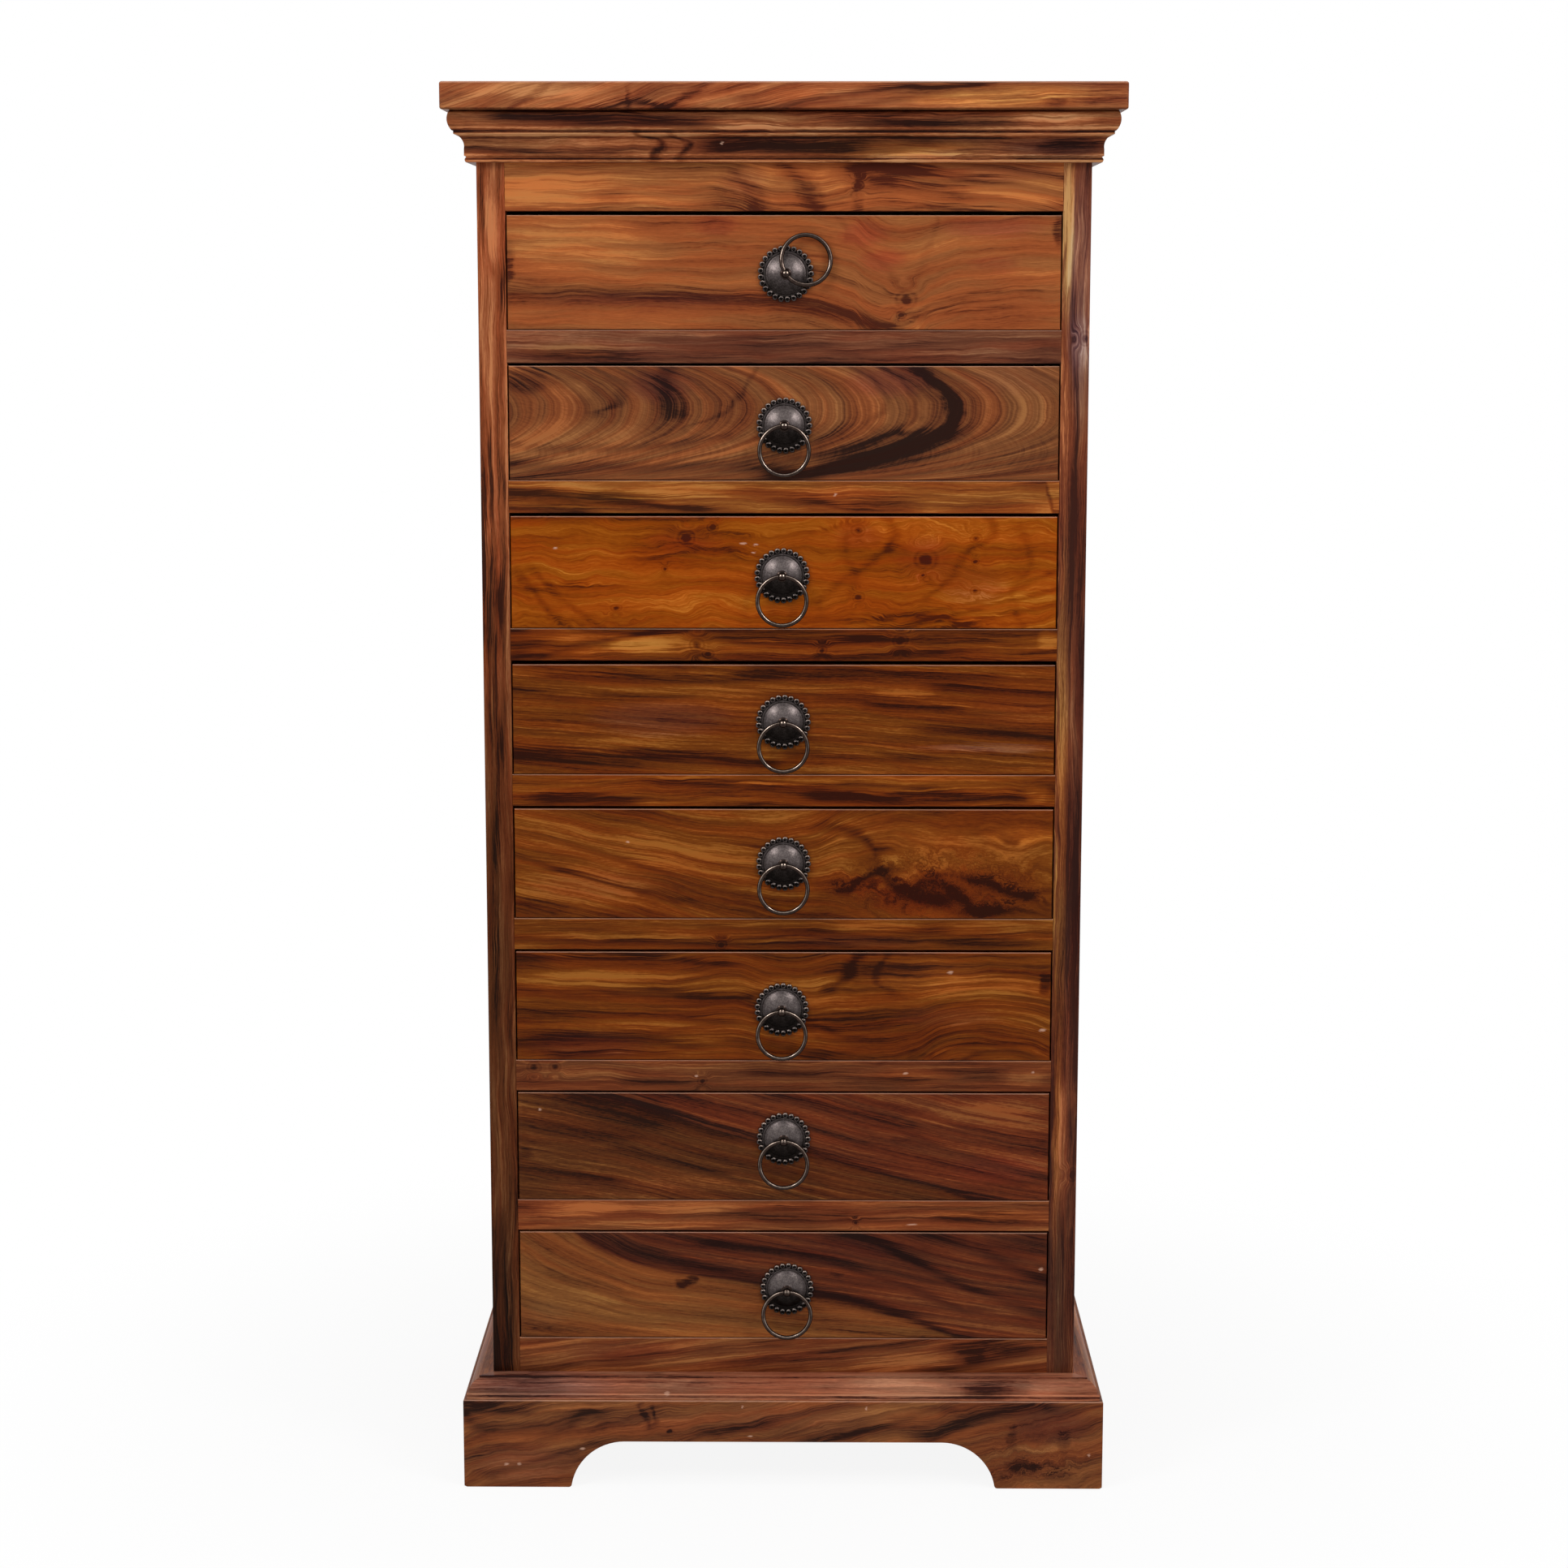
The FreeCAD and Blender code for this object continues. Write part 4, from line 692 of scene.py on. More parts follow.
FRIEZE = Figure(
    toned(HONEY, 1.04), 103, contrast=1.0, waviness=0.6, reach=25,
    # A painted shadow of the cornice along the frieze's upper edge.
    shading_lines=[(26, 9, -0.4)],
    head=[(-272, 4), (-60, 0), (0, -6), (120, -10), (272, -18)],
    foot=[(-272, 0), (-60, 0), (0, -14), (120, -12), (272, -24)],
    veins=[
        ([(80, 17), (150, 6), (240, -10)], 8, 7, 0.5), ([(90, 0), (160, -10), (240, -22)], 7, 6, 0.45),
        ([(140, 20), (200, 12), (255, 4)], 6, 5, 0.4), ([(-246, -6), (-150, -10), (-60, -8)], 4, 4, 0.25),
        ([(-200, 12), (-120, 10), (-60, 14)], 4, 4, 0.2), ([(100, -16), (170, -22)], 5, 5, 0.35),
    ],
    crossing=[
        ([(-46, 8), (-26, -8), (-22, -24)], 15, 13, 0.32),
        ([(-10, 24), (12, 5), (23, -14), (31, -26)], 18, 15, 0.42),
        ([(66, 20), (66, -4), (64, -22)], 7, 5, 0.25),
    ],
    patches=[
        (-20, 10, 22, 14, 0.25), (42, 4, 20, 18, 0.35), (150, 8, 60, 4, 0.25), (-190, 4, 60, 12, 0.15),
        (88, 10, 60, 12, -0.45), (-98, -12, 60, 12, 0.4), (-207, -12, 60, 12, 0.3), (98, -12, 60, 10, 0.2),
        (207, -12, 60, 12, 0.45),
    ],
    tints=[(-35, 2, 26, 16, (120, 58, 36), 0.35), (190, 10, 70, 10, (118, 54, 34), 0.35)],
    knots=[(65, -2, 2.2)],
)
TOP = Figure(
    ROSE, 101, reach=12,
    head=[(-300, -70), (-200, -40), (0, 6), (100, 12), (300, 12)],
    foot=[(-300, -70), (-200, -45), (0, 0), (100, 6), (300, 8)],
    veins=[
        ([(-12, -12), (40, -2), (110, 9)], 9, 7, 0.55), ([(60, -10), (110, 0), (160, 9)], 7, 6, 0.35),
        ([(-150, -10), (-130, -6), (-110, -8)], 4, 4, 0.5), ([(120, 8), (200, 9), (290, 10)], 4, 4, 0.25),
    ],
    crossing=[
        ([(-240, -14), (-218, 0), (-200, 14)], 9, 8, 0.3),
        ([(-110, -14), (-84, 0), (-60, 14)], 10, 9, 0.35), ([(-138, -12), (-135, 2)], 5, 3, 0.25),
    ],
    patches=[
        (235, -5, 14, 7, -0.3), (-170, 0, 30, 12, 0.2), (-60, -6, 30, 8, 0.25), (280, -4, 26, 9, -0.2),
        (-228, 6, 70, 9, 0.45), (108, 0, 60, 10, -0.2), (228, -6, 60, 8, -0.25), (228, 6, 60, 8, 0.2),
    ],
    tints=[(190, 0, 120, 14, (156, 92, 44), 0.45), (-10, 2, 60, 12, (146, 70, 36), 0.4)],
)
CORNICE = Figure(
    [(38, 15, 8), (88, 44, 25), (116, 64, 37), (144, 86, 51), (192, 132, 88)], 107, contrast=0.75, unrest=6,
    painted_light=False,
    veins=[
        ([(-240, 17), (-160, 14), (-80, 12)], 12, 8, 0.55),
        ([(-54, -6), (0, -8), (60, -10), (120, -6)], 15, 8, 0.5),
        ([(60, 14), (130, 12), (190, 13)], 9, 7, 0.3), ([(-280, -10), (-220, -14), (-160, -12)], 5, 5, 0.3),
    ],
    crossing=[
        ([(-128, 2), (-108, -6), (-114, -16)], 9, 8, 0.5), ([(-98, 0), (-84, -6), (-90, -16)], 7, 6, 0.4),
    ],
    patches=[
        (-20, 14, 60, 7, 0.2), (235, 15, 60, 8, 0.3), (110, -8, 90, 5, 0.2), (250, -8, 40, 9, -0.45),
        (-190, -8, 50, 8, 0.15), (-227, 8, 60, 12, 0.25), (107, 8, 60, 12, -0.2), (107, -12, 60, 10, 0.45),
    ],
    tints=[
        (-160, 14, 100, 9, (96, 44, 26), 0.4), (240, -8, 56, 12, (84, 48, 36), 0.5),
        (90, -8, 100, 9, (124, 72, 30), 0.5),
    ],
    # Painted shade and painted highlight along the cornice's profile lines.
    shading_lines=[
        (22.5, 1.6, -0.5), (7.6, 1.5, 0.3), (4.6, 1.4, -0.6), (2.2, 1.1, 0.35), (-0.5, 1.4, -0.35),
        (-15.5, 2.2, 0.25), (-18.4, 0.9, -0.5), (-20.4, 1.1, 0.4), (-22.6, 1.0, -0.5),
    ],
    scuffs=[(-54, -5, 1.4, 1.4)],
)
BASE_RAIL = Figure(
    toned(UMBER, 1.07), 109, contrast=0.9, waviness=0.4, reach=17,
    head=[(-246, -28), (246, 28)],
    veins=[
        ([(150, -15), (190, -4), (240, 7)], 10, 9, 0.5), ([(-200, -10), (-100, 2), (-20, 10)], 5, 4, 0.3),
        ([(-160, -12), (-60, -6), (40, 6)], 5, 4, 0.25),
    ],
    patches=[
        (105, -4, 60, 12, 0.3), (176, 0, 18, 10, -0.4), (187, 8, 55, 10, -0.5), (-88, -8, 50, 8, 0.2),
        (-200, -4, 50, 9, 0.15), (0, 2, 80, 6, 0.15),
    ],
    tints=[(-150, 4, 70, 10, (96, 44, 26), 0.35), (30, 2, 70, 8, (110, 54, 30), 0.4)],
)
CAP = Figure(
    [(54, 26, 20), (114, 64, 46), (136, 86, 64), (156, 98, 72), (190, 126, 94)], 113, contrast=0.75,
    waviness=0.4, painted_light=False,
    patches=[
        (-250, 0, 60, 12, -0.35), (195, -2, 34, 10, -0.4), (246, 0, 24, 10, 0.2), (-110, 2, 60, 8, -0.2),
        (107, 0, 70, 12, 0.5), (227, -4, 40, 9, 0.25),
    ],
    tints=[
        (-230, 2, 90, 14, (112, 78, 68), 0.6), (210, 4, 70, 8, (112, 72, 56), 0.4),
        (-20, 0, 90, 12, (136, 78, 54), 0.4),
    ],
    # Painted shade and painted highlight along the cap's profile lines.
    shading_lines=[(8.6, 1.3, -0.35), (3.6, 1.4, 0.12), (-4.6, 0.8, 0.5), (-6.6, 1.6, -0.35), (-8.8, 0.8, 0.35)],
    scuffs=[(-108, -4, 2.4, 2.0)],
)
SKIRT = Figure(
    toned(GOLD, 1.04), 127, contrast=0.68, waviness=0.8, unrest=12, reach=42,
    head=[(-298, -30), (0, 10), (298, 70)],
    foot=[(-298, -50), (0, 0), (298, 50)],
    veins=[
        ([(-298, 26), (-270, 16), (-230, 16), (-180, 30)], 12, 11, 0.5),
        ([(-298, 34), (-250, 30)], 12, 8, 0.4), ([(140, 8), (170, 22), (200, 31), (240, 38)], 9, 8, 0.45),
        ([(-60, 10), (20, 30), (60, 40)], 7, 6, 0.3), ([(40, 4), (100, 20), (140, 34)], 7, 6, 0.3),
        ([(-270, -30), (-220, -14), (-180, 0)], 6, 5, 0.3),
        ([(-250, 0), (-180, 16), (-120, 30)], 5, 5, 0.25), ([(-20, 4), (50, 16), (110, 34)], 6, 5, 0.25),
    ],
    crossing=[([(-134, 36), (-128, 26), (-124, 18)], 7, 4, 0.4), ([(-122, 34), (-118, 22)], 4, 3, 0.35)],
    patches=[
        (-250, 34, 55, 10, -0.25), (-227, 10, 60, 20, 0.25), (107, 28, 60, 12, 0.3),
        (-240, -20, 50, 20, 0.25), (222, -22, 20, 10, -0.3), (258, -30, 18, 7, -0.3), (262, 4, 8, 20, -0.2),
        (238, -2, 30, 6, 0.25), (214, 6, 7, 16, -0.2), (30, 24, 60, 10, 0.15), (-106, 12, 5, 4, -0.6),
    ],
    tints=[
        (-240, -20, 70, 26, (98, 50, 34), 0.45), (0, 26, 120, 18, (108, 58, 36), 0.35),
        (250, 20, 50, 24, (92, 46, 32), 0.45), (-120, 20, 60, 14, (110, 60, 36), 0.3),
    ],
    burls=[(236, -10, 62, 46, 22)],
    scuffs=[
        (-258, -20, 2.0, 1.1), (-246, -20, 2.0, 1.2), (-187, -5, 2.6, 1.2), (-30, 8, 2.2, 0.8),
        (78, 35, 0.9, 1.8), (285, -10, 1.2, 1.6), (-38, 36, 0.8, 1.4),
    ],
)
# The posts' grain runs upwards: u is the height above the floor, v goes to the right.
LEFT_POST = [(54, 24, 13), (112, 54, 28), (136, 68, 37), (156, 87, 54), (186, 114, 72)]
RIGHT_POST = [(56, 27, 20), (92, 47, 31), (112, 61, 39), (136, 81, 50), (176, 116, 76)]
POSTS = Figure(
    UMBER, 137, contrast=1.05, grain=1.3,
    layers=[(-280, -240, LEFT_POST), (240, 280, RIGHT_POST)],
    veins=[
        ([(800, -262), (830, -258), (860, -262)], 12, 12, 0.35),
        ([(90, -268), (160, -269), (235, -269)], 9, 9, 0.6),
        ([(110, -257), (200, -260), (330, -266)], 6, 6, 0.45),
        ([(360, -262), (520, -266), (620, -262)], 7, 6, 0.35),
        ([(430, -252), (480, -254), (560, -250)], 6, 6, 0.4),
        ([(700, -256), (760, -252), (830, -256)], 5, 5, 0.4),
        ([(700, -266), (780, -262), (850, -266)], 5, 5, 0.4),
        ([(880, -268), (1000, -266), (1100, -264)], 5, 5, 0.3),
        ([(940, -252), (1040, -256), (1110, -250)], 4, 4, 0.3),
        ([(1110, -254), (1140, -262), (1190, -270)], 6, 6, 0.4),
        ([(1110, 266), (1160, 267), (1215, 265)], 14, 15, 0.4),
        ([(1030, 262), (1055, 258), (1080, 262)], 13, 16, 0.35),
        ([(1085, 258), (1130, 257), (1180, 260)], 4, 4, 0.4),
        ([(400, 269), (700, 270), (1020, 269)], 9, 10, 0.4),
        ([(400, 259), (700, 260), (1020, 260)], 4, 4, 0.45),
        ([(110, 262), (200, 260), (340, 264)], 12, 9, 0.35),
    ],
    patches=[
        (1157, -258, 40, 9, 0.3), (550, -256, 130, 8, 0.2), (980, -258, 110, 9, 0.15),
        (1165, 253, 66, 7, 0.45), (760, 252, 280, 6, 0.3), (220, 258, 150, 14, -0.15),
        (1000, 266, 60, 6, 0.2), (330, 256, 90, 7, 0.25), (1080, -262, 150, 10, 0.4),
        (1090, -248, 130, 5, -0.2), (830, -270, 140, 6, -0.5), (830, -259, 140, 9, 0.25),
        (250, -266, 160, 9, 0.3), (1070, 260, 160, 20, 0.5), (830, 252, 140, 12, -0.3),
        (830, 265, 140, 8, -0.2), (550, 264, 160, 7, -0.45), (250, 249, 160, 6, -0.25),
        (250, 270, 150, 5, -0.25), (250, 262, 150, 5, 0.2),
    ],
    tints=[
        (380, -259, 560, 60, (84, 42, 19), 0.8), (1100, 264, 140, 14, (118, 78, 66), 0.6),
        (1150, 252, 90, 8, (130, 84, 50), 0.4), (1055, 262, 36, 14, (96, 56, 48), 0.3),
        (940, 266, 60, 7, (112, 54, 34), 0.3), (650, 268, 260, 8, (76, 36, 26), 0.5),
        (560, 253, 400, 8, (104, 58, 26), 0.5), (160, 260, 160, 20, (72, 40, 27), 0.6),
        (170, -262, 110, 14, (64, 34, 24), 0.4),
    ],
    knots=[(1062, 268, 2.6), (295, 268, 2.6)],
)


def dress_fronts():
    for number, figure in FRONTS.items():
        node = f"drawer_{number}_front"
        dress(wood(f"front_{number}", figure, middle=middle_of(node)), node)


def dress_carcass():
    """The boards seen from the front, each with the height that its figure's v is measured from."""
    top_front, post_front = front_of("top_board"), front_of("front_posts")
    dress(wood("top", TOP, middle=middle_of("top_board"), front=top_front), "top_board")
    dress(wood("post", POSTS, "ZXY", front=post_front, outwards=True), "front_posts")
    for node, name, figure, middle in (
            ("frieze_rail", "frieze", FRIEZE, 1197.4), ("cornice_front", "cornice", CORNICE, 1236.5),
            ("base_rail", "base_rail", BASE_RAIL, 119.8), ("base_moulding_front", "base_moulding", CAP, 94),
            ("skirt_front", "skirt", SKIRT, 42.5), ("drawer_rails", "rail", RAILS, 0)):
        dress(wood(name, figure, middle=middle), node)


def dress_sides():
    for node, name, axes, figure in (
            ("rear_posts", "rear_post", "ZXY", Figure(RUSSET, 139, contrast=1.0, waviness=0.6)),
            ("side_panels", "panel", "ZYX", Figure(RUSSET, 149, contrast=0.85, unrest=3)),
            ("side_rails", "side_rail", "YZX", Figure(RUSSET, 151, contrast=1.0, waviness=0.6)),
            ("cornice_sides", "cornice_side", "YZX", Figure(toned(ROSE, 0.9), 157)),
            ("base_moulding_sides", "base_side", "YZX", Figure(toned(ROSE, 0.9), 163)),
            ("skirt_sides", "skirt_side", "YZX", Figure(GOLD, 167, waviness=0.7))):
        dress(wood(name, figure, axes), node)


def dress_inside():
    """Plain pale wood, with its grain across, upright or from front to back."""
    boxes = [f"drawer_{number}_box" for number in FRONTS]
    for name, seed, axes, nodes in (("inner", 173, "XZY", ["rear_rails", "top_blocks"]),
                                    ("back", 179, "ZXY", ["back_panel"]),
                                    ("running", 181, "YXZ", ["drawer_runners", "drawer_stops", *boxes])):
        dress(wood(name, Figure(PINE, seed, contrast=0.7, blush=0.25), axes), *nodes)


# ---------------------------------------------------------------- iron pulls
# A rosette in its own frame, in mm: x to the right, y upwards, z out of the drawer front.
BORE = 2.5
DOME_RADIUS, DOME_HEIGHT, DOME_CURVE, DOME_STEPS = 17.6, 7.0, 32.0, 14
GROOVE_END, GROOVE_FLOOR, PLATE, PLATE_END = 18.8, 0.9, 1.8, 19.5
LOBES, LOBE_CIRCLE, LOBE_RADIUS, LOBE_TOP, LOBE_FLOOR = 25, 22.4, 2.65, 2.7, 1.0
NOTCH = 21.9  # how far the rim reaches between two lobes
FLOOR_START = 20.0  # where the low floor between the lobes begins
STEPS_PER_LOBE, LOBE_STEPS = 16, 14
BOLT, BOLT_END, FRONT_BOARD = 2.0, -25.9, 20.0
COLLAR = [(0, 5.2), (1, 4.0), (1.3, 1.5)]  # its section: height over the dome, radius
WASHER, WASHER_BORE, WASHER_RADIUS = 1.2, 2.25, 6.5
NUT, NUT_BORE, NUT_RADIUS = 3.2, 2.35, 4.6
EYE_REACH, EYE_RADIUS, EYE_BORE, EYE_STEPS = 11.0, 4.1, 2.35, 12
RING_RADIUS, WIRE, WIRE_STEPS = 22.0, 2.0, 36


def wrapped(count, loops, closed=True):
    """The faces between loops of count points each, around a solid; closed joins each loop's ends."""
    faces = []
    for loop in range(loops):
        here, there = loop * count, (loop + 1) % loops * count
        for i in range(count if closed else count - 1):
            j = (i + 1) % count
            faces.append((here + i, here + j, there + j, there + i))
    return faces


def mesh_of(name, parts):
    """One smooth mesh from parts (points, faces), with its normals outwards."""
    shape = bmesh.new()
    for points, faces in parts:
        verts = [shape.verts.new(point) for point in points]
        for face in faces:
            shape.faces.new([verts[i] for i in face])
    bmesh.ops.recalc_face_normals(shape, faces=shape.faces)
    mesh = bpy.data.meshes.new(name)
    shape.to_mesh(mesh)
    shape.free()
    mesh.shade_smooth()
    mesh.set_sharp_from_angle(angle=math.radians(50))
    return mesh


def store(mesh, name, values):
    """Keep a value for each point of a mesh, for its material to read."""
    mesh.attributes.new(name, "FLOAT", "POINT").data.foreach_set("value", values)


def smoothstep(value, low, high):
    share = min(max((value - low) / (high - low), 0), 1)
    return share * share * (3 - 2 * share)


def dome_height(radius):
    """The height of the dome's curve, an arc from its foot to its crown, over the drawer front."""
    run, rise = DOME_RADIUS - BORE, DOME_HEIGHT - GROOVE_FLOOR
    chord = math.hypot(run, rise)
    sink = math.sqrt(DOME_CURVE ** 2 - (chord / 2) ** 2)
    middle_r, middle_h = BORE + run / 2, GROOVE_FLOOR + rise / 2
    centre_r, centre_h = middle_r - sink * rise / chord, middle_h - sink * run / chord
    return centre_h + math.sqrt(DOME_CURVE ** 2 - (radius - centre_r) ** 2)


def lobe_height(off):
    """A lobe's height at a distance from its middle, as a share of its radius: a cup with a rounded rim."""
    rim = math.sqrt(max(0.0, 1 - (abs(off - 0.68) / 0.36) ** 2))
    return LOBE_FLOOR + (LOBE_TOP - LOBE_FLOOR) * (rim if off > 0.32 else 0.0)


def rim_radius(turn):
    """The outline of the rosette at an angle from the nearest lobe's middle."""
    aside = LOBE_CIRCLE * math.sin(turn)
    inside = max(LOBE_RADIUS ** 2 - aside ** 2, 0.0)
    return max(LOBE_CIRCLE * math.cos(turn) + math.sqrt(inside), NOTCH)


def rosette_mesh(name, in_ring):
    """A cast rosette: dome, groove, plate and a rim of cupped lobes.

    Its shade attribute is how dark the iron is made: blackened in the groove and in and between
    the lobes, with painted shade on the lower half and, by in_ring, a painted shadow where a
    hanging ring frames it; painted highlights on the rims of the lobes take it below 0.
    """
    dome = [BORE + (DOME_RADIUS - BORE) * i / DOME_STEPS for i in range(DOME_STEPS + 1)]
    groove = [DOME_RADIUS + 0.25, GROOVE_END - 0.2]
    plate = [GROOVE_END, GROOVE_END + 0.25, PLATE_END]
    segments = LOBES * STEPS_PER_LOBE
    verts, shades = [], []

    def add(radius, turn, height, shade, bright=0.0):
        x, y = radius * math.cos(turn), radius * math.sin(turn)
        # Painted shade, darker towards the bottom, and a painted shadow inside a hanging ring.
        lower = 0.62 * smoothstep(-y, -9, 15)
        ring_shadow = 0.9 * in_ring * smoothstep(RING_RADIUS - math.hypot(x, y + RING_RADIUS), -1, 6)
        dark = (1 - (1 - lower) * (1 - ring_shadow)) * (1 - 0.6 * bright)
        verts.append((x * MM, y * MM, height * MM))
        shades.append(shade + (1 - shade) * dark - 0.95 * bright)

    for step in range(segments):
        turn = 2 * math.pi * step / segments
        nearest = 2 * math.pi / LOBES * round(turn / (2 * math.pi / LOBES))
        rim = rim_radius(turn - nearest)
        add(BORE, turn, 0, 1)
        for radius in dome:
            add(radius, turn, dome_height(radius), 0.2 * smoothstep(radius, 14, DOME_RADIUS))
        for radius in groove:
            add(radius, turn, GROOVE_FLOOR, 0.6)
        for radius in plate:
            add(radius, turn, PLATE, 0.3)
        for i in range(1, LOBE_STEPS + 1):
            radius = PLATE_END + (rim - PLATE_END) * i / LOBE_STEPS
            outward = radius * math.cos(turn - nearest) - LOBE_CIRCLE
            off = math.hypot(outward, radius * math.sin(turn - nearest)) / LOBE_RADIUS
            if off < 1.04:
                # A painted highlight on the side of each lobe's rim that faces up or out.
                rise = (radius * math.sin(turn) - LOBE_CIRCLE * math.sin(nearest)) / LOBE_RADIUS
                lit = max(smoothstep(rise, 0.1, 0.7), 0.45 * smoothstep(outward / LOBE_RADIUS, 0.3, 0.8))
                raised = smoothstep(off, 0.35, 0.6)
                add(radius, turn, lobe_height(min(off, 1)), 0.75 - 0.35 * raised, raised * lit)
            elif radius > FLOOR_START:
                add(radius, turn, LOBE_FLOOR, 0.85)
            else:
                add(radius, turn, PLATE, 0.3)
        add(rim, turn, 0, 1)
    mesh = mesh_of(name, [(verts, wrapped(len(verts) // segments, segments))])
    store(mesh, "shade", shades)
    return mesh


def turned(profile, steps, about="Z", lift=0.0, ends=False):
    """Points (place along an axis, radius) turned about it; with ends, flat faces close an open profile."""
    verts = []
    for step in range(steps):
        turn = 2 * math.pi * step / steps
        for along, radius in profile:
            aside, up = radius * math.cos(turn), radius * math.sin(turn)
            x, y, z = (aside, up, along) if about == "Z" else (along, aside, up)
            verts.append((x * MM, y * MM, (z + lift) * MM))
    count = len(profile)
    faces = wrapped(count, steps, closed=not ends)
    if ends:
        faces += [[step * count + end for step in range(steps)] for end in (0, count - 1)]
    return verts, faces


def flat_ring(top, thickness, bore, radius):
    """The section of a washer or a nut, downwards from its top."""
    return [(top - thickness, bore), (top - thickness, radius), (top, radius), (top, bore)]


def eyebolt_mesh(name, turn):
    """A bolt with a bored ball, its collar on the dome, and its washer and nut behind the drawer front."""
    opening = math.acos(EYE_BORE / EYE_RADIUS)
    angles = [opening * i / EYE_STEPS for i in range(-EYE_STEPS, EYE_STEPS + 1)]
    ball = [(EYE_RADIUS * math.sin(angle), EYE_RADIUS * math.cos(angle)) for angle in angles]
    collar = [(DOME_HEIGHT + height, radius) for height, radius in COLLAR]
    bolt = [(BOLT_END, BOLT), (DOME_HEIGHT, BOLT), *collar]
    washer = flat_ring(-FRONT_BOARD, WASHER, WASHER_BORE, WASHER_RADIUS)
    nut = flat_ring(-FRONT_BOARD - WASHER, NUT, NUT_BORE, NUT_RADIUS)
    mesh = mesh_of(name, [turned(bolt, 40, ends=True), turned(ball, 48, about="X", lift=EYE_REACH),
                          turned(washer, 40), turned(nut, 6)])
    mesh.transform(Matrix.Rotation(turn, 4, "Z"))
    # Two painted highlights on the ball's upper front, where the lamps are mirrored.
    shiny_ways = [Vector((side * 0.33, 0.32, 0.89)) for side in (-1, 1)]

    def painted_glints(vertex):
        on_ball = vertex.co.z / MM > EYE_REACH - EYE_BORE
        return on_ball * max(smoothstep(vertex.normal.dot(way), 0.93, 0.985) for way in shiny_ways)

    store(mesh, "painted_light", [painted_glints(vertex) for vertex in mesh.vertices])
    return mesh


def ring_mesh():
    """A ring of round wire around the z axis, with a painted highlight along its upper and front side."""
    angles = [2 * math.pi * i / WIRE_STEPS for i in range(WIRE_STEPS)]
    wire = [(WIRE * math.sin(angle), RING_RADIUS + WIRE * math.cos(angle)) for angle in angles]
    mesh = mesh_of("ring", [turned(wire, 160)])

    def painted_highlight_line(normal):
        tilt = math.hypot(normal.x, normal.y)
        ridge = smoothstep(tilt, 0.2, 0.45) * smoothstep(tilt, 0.8, 0.55)
        return ridge * smoothstep(normal.y, -0.25, 0.2) * smoothstep(normal.z, 0, 0.2)

    store(mesh, "painted_light", [painted_highlight_line(vertex.normal) for vertex in mesh.vertices])
    return mesh


def cast_iron():
    """Blackened iron, lighter on the dome, painted with shade and highlights from an attribute, stippled all
    over.
    """
    graph = Graph(bpy.data.materials.new("cast_iron"))
    shade = graph.field("Attribute", output="Fac", attribute_name="shade")
    mottle, stipple = graph.speckle(0.25, 4, 0.65), graph.speckle(1.1, 3, 0.6)
    tone_and_painted_light = graph.math("SUBTRACT", 0.6 + mottle * 0.6 + stipple * 0.8, shade * 0.6, clamp=True)
    colour = graph.ramp(tone_and_painted_light, [(22, 18, 16), (46, 40, 38), (76, 68, 67), (106, 97, 94), (168, 150, 138)])
    relief = graph.bump(stipple + mottle * 0.4, 0.09)
    return graph.finish(Base_Color=colour, Metallic=1.0, Roughness=0.36 + stipple * 0.35, Normal=relief)


def wire_iron(name, bare, roughness):
    """Drawn iron, smoother than the castings, with painted highlights from an attribute."""
    graph = Graph(bpy.data.materials.new(name))
    mottle, grit = graph.speckle(0.2, 4, 0.6), graph.speckle(1.6, 2, 0.5)
    # The attribute holds painted highlights: spots on the ball and a line along the ring.
    painted_light = graph.field("Attribute", output="Fac", attribute_name="painted_light")
    tone_and_painted_light = graph.math("ADD", bare, mottle * 0.7 + grit * 0.3 + painted_light * 0.6, clamp=True)
    colour = graph.ramp(tone_and_painted_light, [(30, 23, 20), (56, 45, 40), (84, 71, 64), (126, 112, 102), (184, 168, 156)])
    relief = graph.bump(mottle + grit * 0.12, 0.02)
    return graph.finish(Base_Color=colour, Metallic=1.0, Roughness=roughness + grit * 0.12, Normal=relief)


def make_pulls():
    castings = cast_iron()
    ring_iron, bolt_iron = wire_iron("ring_iron", 0.2, 0.24), wire_iron("bolt_iron", 0.16, 0.18)
    hinges = {joint["child"]: joint for joint in frame["joints"] if "pos_m" in joint}
    hanging, raised = rosette_mesh("rosette_hanging", 1.0), rosette_mesh("rosette_raised", 0.0)
    ring = ring_mesh()
    for mesh, material in ((hanging, castings), (raised, castings), (ring, ring_iron)):
        mesh.materials.append(material)
    outward = Matrix.Rotation(math.radians(90), 4, "X")
    for number in range(1, DRAWERS + 1):
        foot = Matrix.Translation(hinges[f"eyebolt_{number}"]["pos_m"]) @ outward
        eye, axis = (Vector(hinges[f"ring_{number}"][key]) for key in ("pos_m", "axis"))
        low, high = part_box(f"drawer_{number}_ring")
        centre = (low + high) / 2
        facing = axis.cross(centre - eye).to_track_quat("Z", "Y").to_matrix().to_4x4()
        eyebolt = eyebolt_mesh(f"eyebolt_{number}", math.atan2(axis.z, axis.x))
        eyebolt.materials.append(bolt_iron)
        rosette = raised if number == 1 else hanging
        add_piece("rosette", number, rosette, foot, f"drawer_{number}")
        add_piece("eyebolt", number, eyebolt, foot, f"eyebolt_{number}")
        add_piece("ring", number, ring, Matrix.Translation(centre) @ facing, f"ring_{number}")


def add_piece(kind, number, mesh, matrix, body):
    """One piece of a pull, on the body that it moves with, for the CAD node that it stands for."""
    piece = add_object(f"{kind}_{number}", mesh)
    piece.matrix_world = matrix
    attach(piece, body)
    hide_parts(f"drawer_{number}_{kind}")


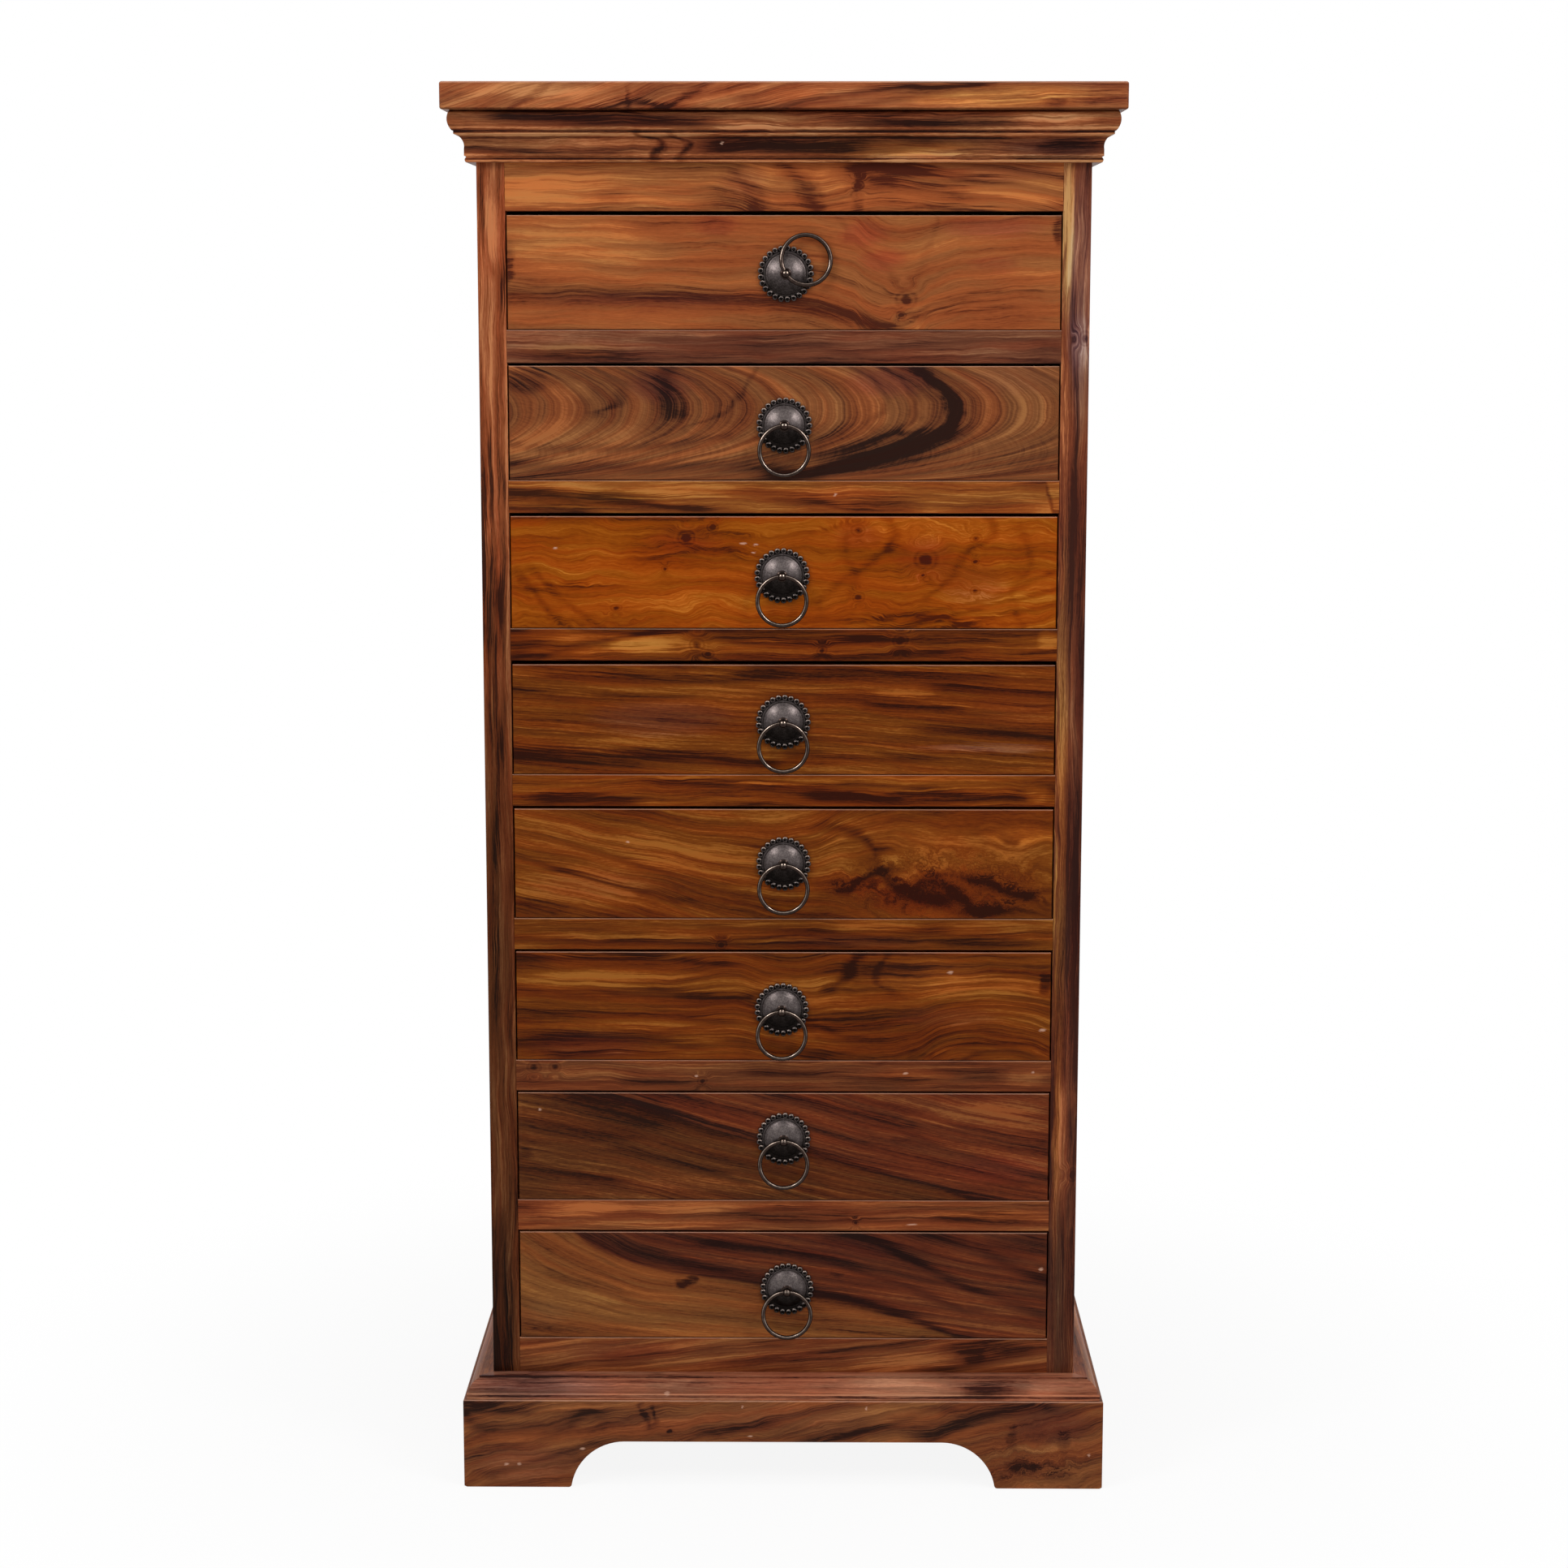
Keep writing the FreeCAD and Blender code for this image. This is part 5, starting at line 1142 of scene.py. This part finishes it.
# ---------------------------------------------------------------- camera, light and floor
LENS, SENSOR = 70.97, 36
CAMERA_PLACE = (0.0221, -2.9466, 1.0963)
CAMERA_TURN = (81.085, -0.034, 0.453)  # in degrees
FLOOR_HALF = 6


def add_object(name, data):
    """A new object with this data, in the scene."""
    thing = bpy.data.objects.new(name, data)
    bpy.context.scene.collection.objects.link(thing)
    return thing


def make_camera():
    data = bpy.data.cameras.new("camera")
    data.sensor_fit, data.sensor_width, data.lens = "HORIZONTAL", SENSOR, LENS
    camera = add_object("camera", data)
    camera.location = CAMERA_PLACE
    camera.rotation_euler = [math.radians(angle) for angle in CAMERA_TURN]
    bpy.context.scene.camera = camera


def softbox(name, stand, aim, width, height, radiance, mirrored=False):
    """A lamp that lights surfaces, or one that is only mirrored in metal."""
    data = bpy.data.lights.new(name, "AREA")
    data.shape, data.size, data.size_y = "RECTANGLE", width, height
    data.energy = radiance * math.pi * width * height
    lamp = add_object(name, data)
    lamp.location = stand
    lamp.rotation_euler = (Vector(aim) - Vector(stand)).to_track_quat("-Z", "Y").to_euler()
    lamp.visible_diffuse, lamp.visible_glossy = not mirrored, mirrored


def light_scene():
    """Softboxes on both sides and overhead, and a white world, dimmer as light than where it is seen."""
    for side, hand in ((-1, "left"), (1, "right")):
        softbox(f"softbox_{hand}", (side * 1.95, -1.8, 2.25), (0, -0.17, 0.65), 0.8, 1.0, 9.3)
        softbox(f"highlight_{hand}", (side * 0.94, -1.07, 1.64), (0, -0.18, 0.8), 0.45, 0.45, 13,
                mirrored=True)
    softbox("softbox_top", (0, -0.9, 3.1), (0, -0.1, 0.6), 2.0, 0.8, 3.6)
    world = bpy.data.worlds.new("studio")
    bpy.context.scene.world = world
    graph = Graph(world)
    strength = graph.field("MapRange", {0: graph.seen(), 3: 0.5, 4: 1.0})
    graph.node("OutputWorld", {0: graph.field("Background", {0: (1, 1, 1, 1), 1: strength})})


def make_floor():
    """A pale floor that fades to plain white away from the chest."""
    mesh = bpy.data.meshes.new("floor")
    corners = [(x * FLOOR_HALF, y * FLOOR_HALF, 0) for x, y in ((-1, -1), (1, -1), (1, 1), (-1, 1))]
    mesh.from_pydata(corners, [], [(0, 1, 2, 3)])
    graph = Graph(bpy.data.materials.new("floor_paint"))
    x, y, _ = graph.position("XYZ")
    away = graph.math("SQRT", x * x + y * y)
    share = (0.9 + graph.smooth(away, 350, 1000, to=0.1)) * graph.seen()
    paint = graph.field("BsdfDiffuse", {0: (0.92, 0.92, 0.92, 1)})
    glow = graph.field("Emission", {0: (1, 1, 1, 1), 1: 1.0})
    graph.node("OutputMaterial", {0: graph.field("MixShader", {0: share, 1: paint, 2: glow})})
    mesh.materials.append(graph.owner)
    add_object("floor", mesh)


bpy.context.scene.view_settings.view_transform = "Standard"
make_camera()
light_scene()
make_floor()
dress_fronts()
dress_carcass()
dress_sides()
dress_inside()
make_pulls()
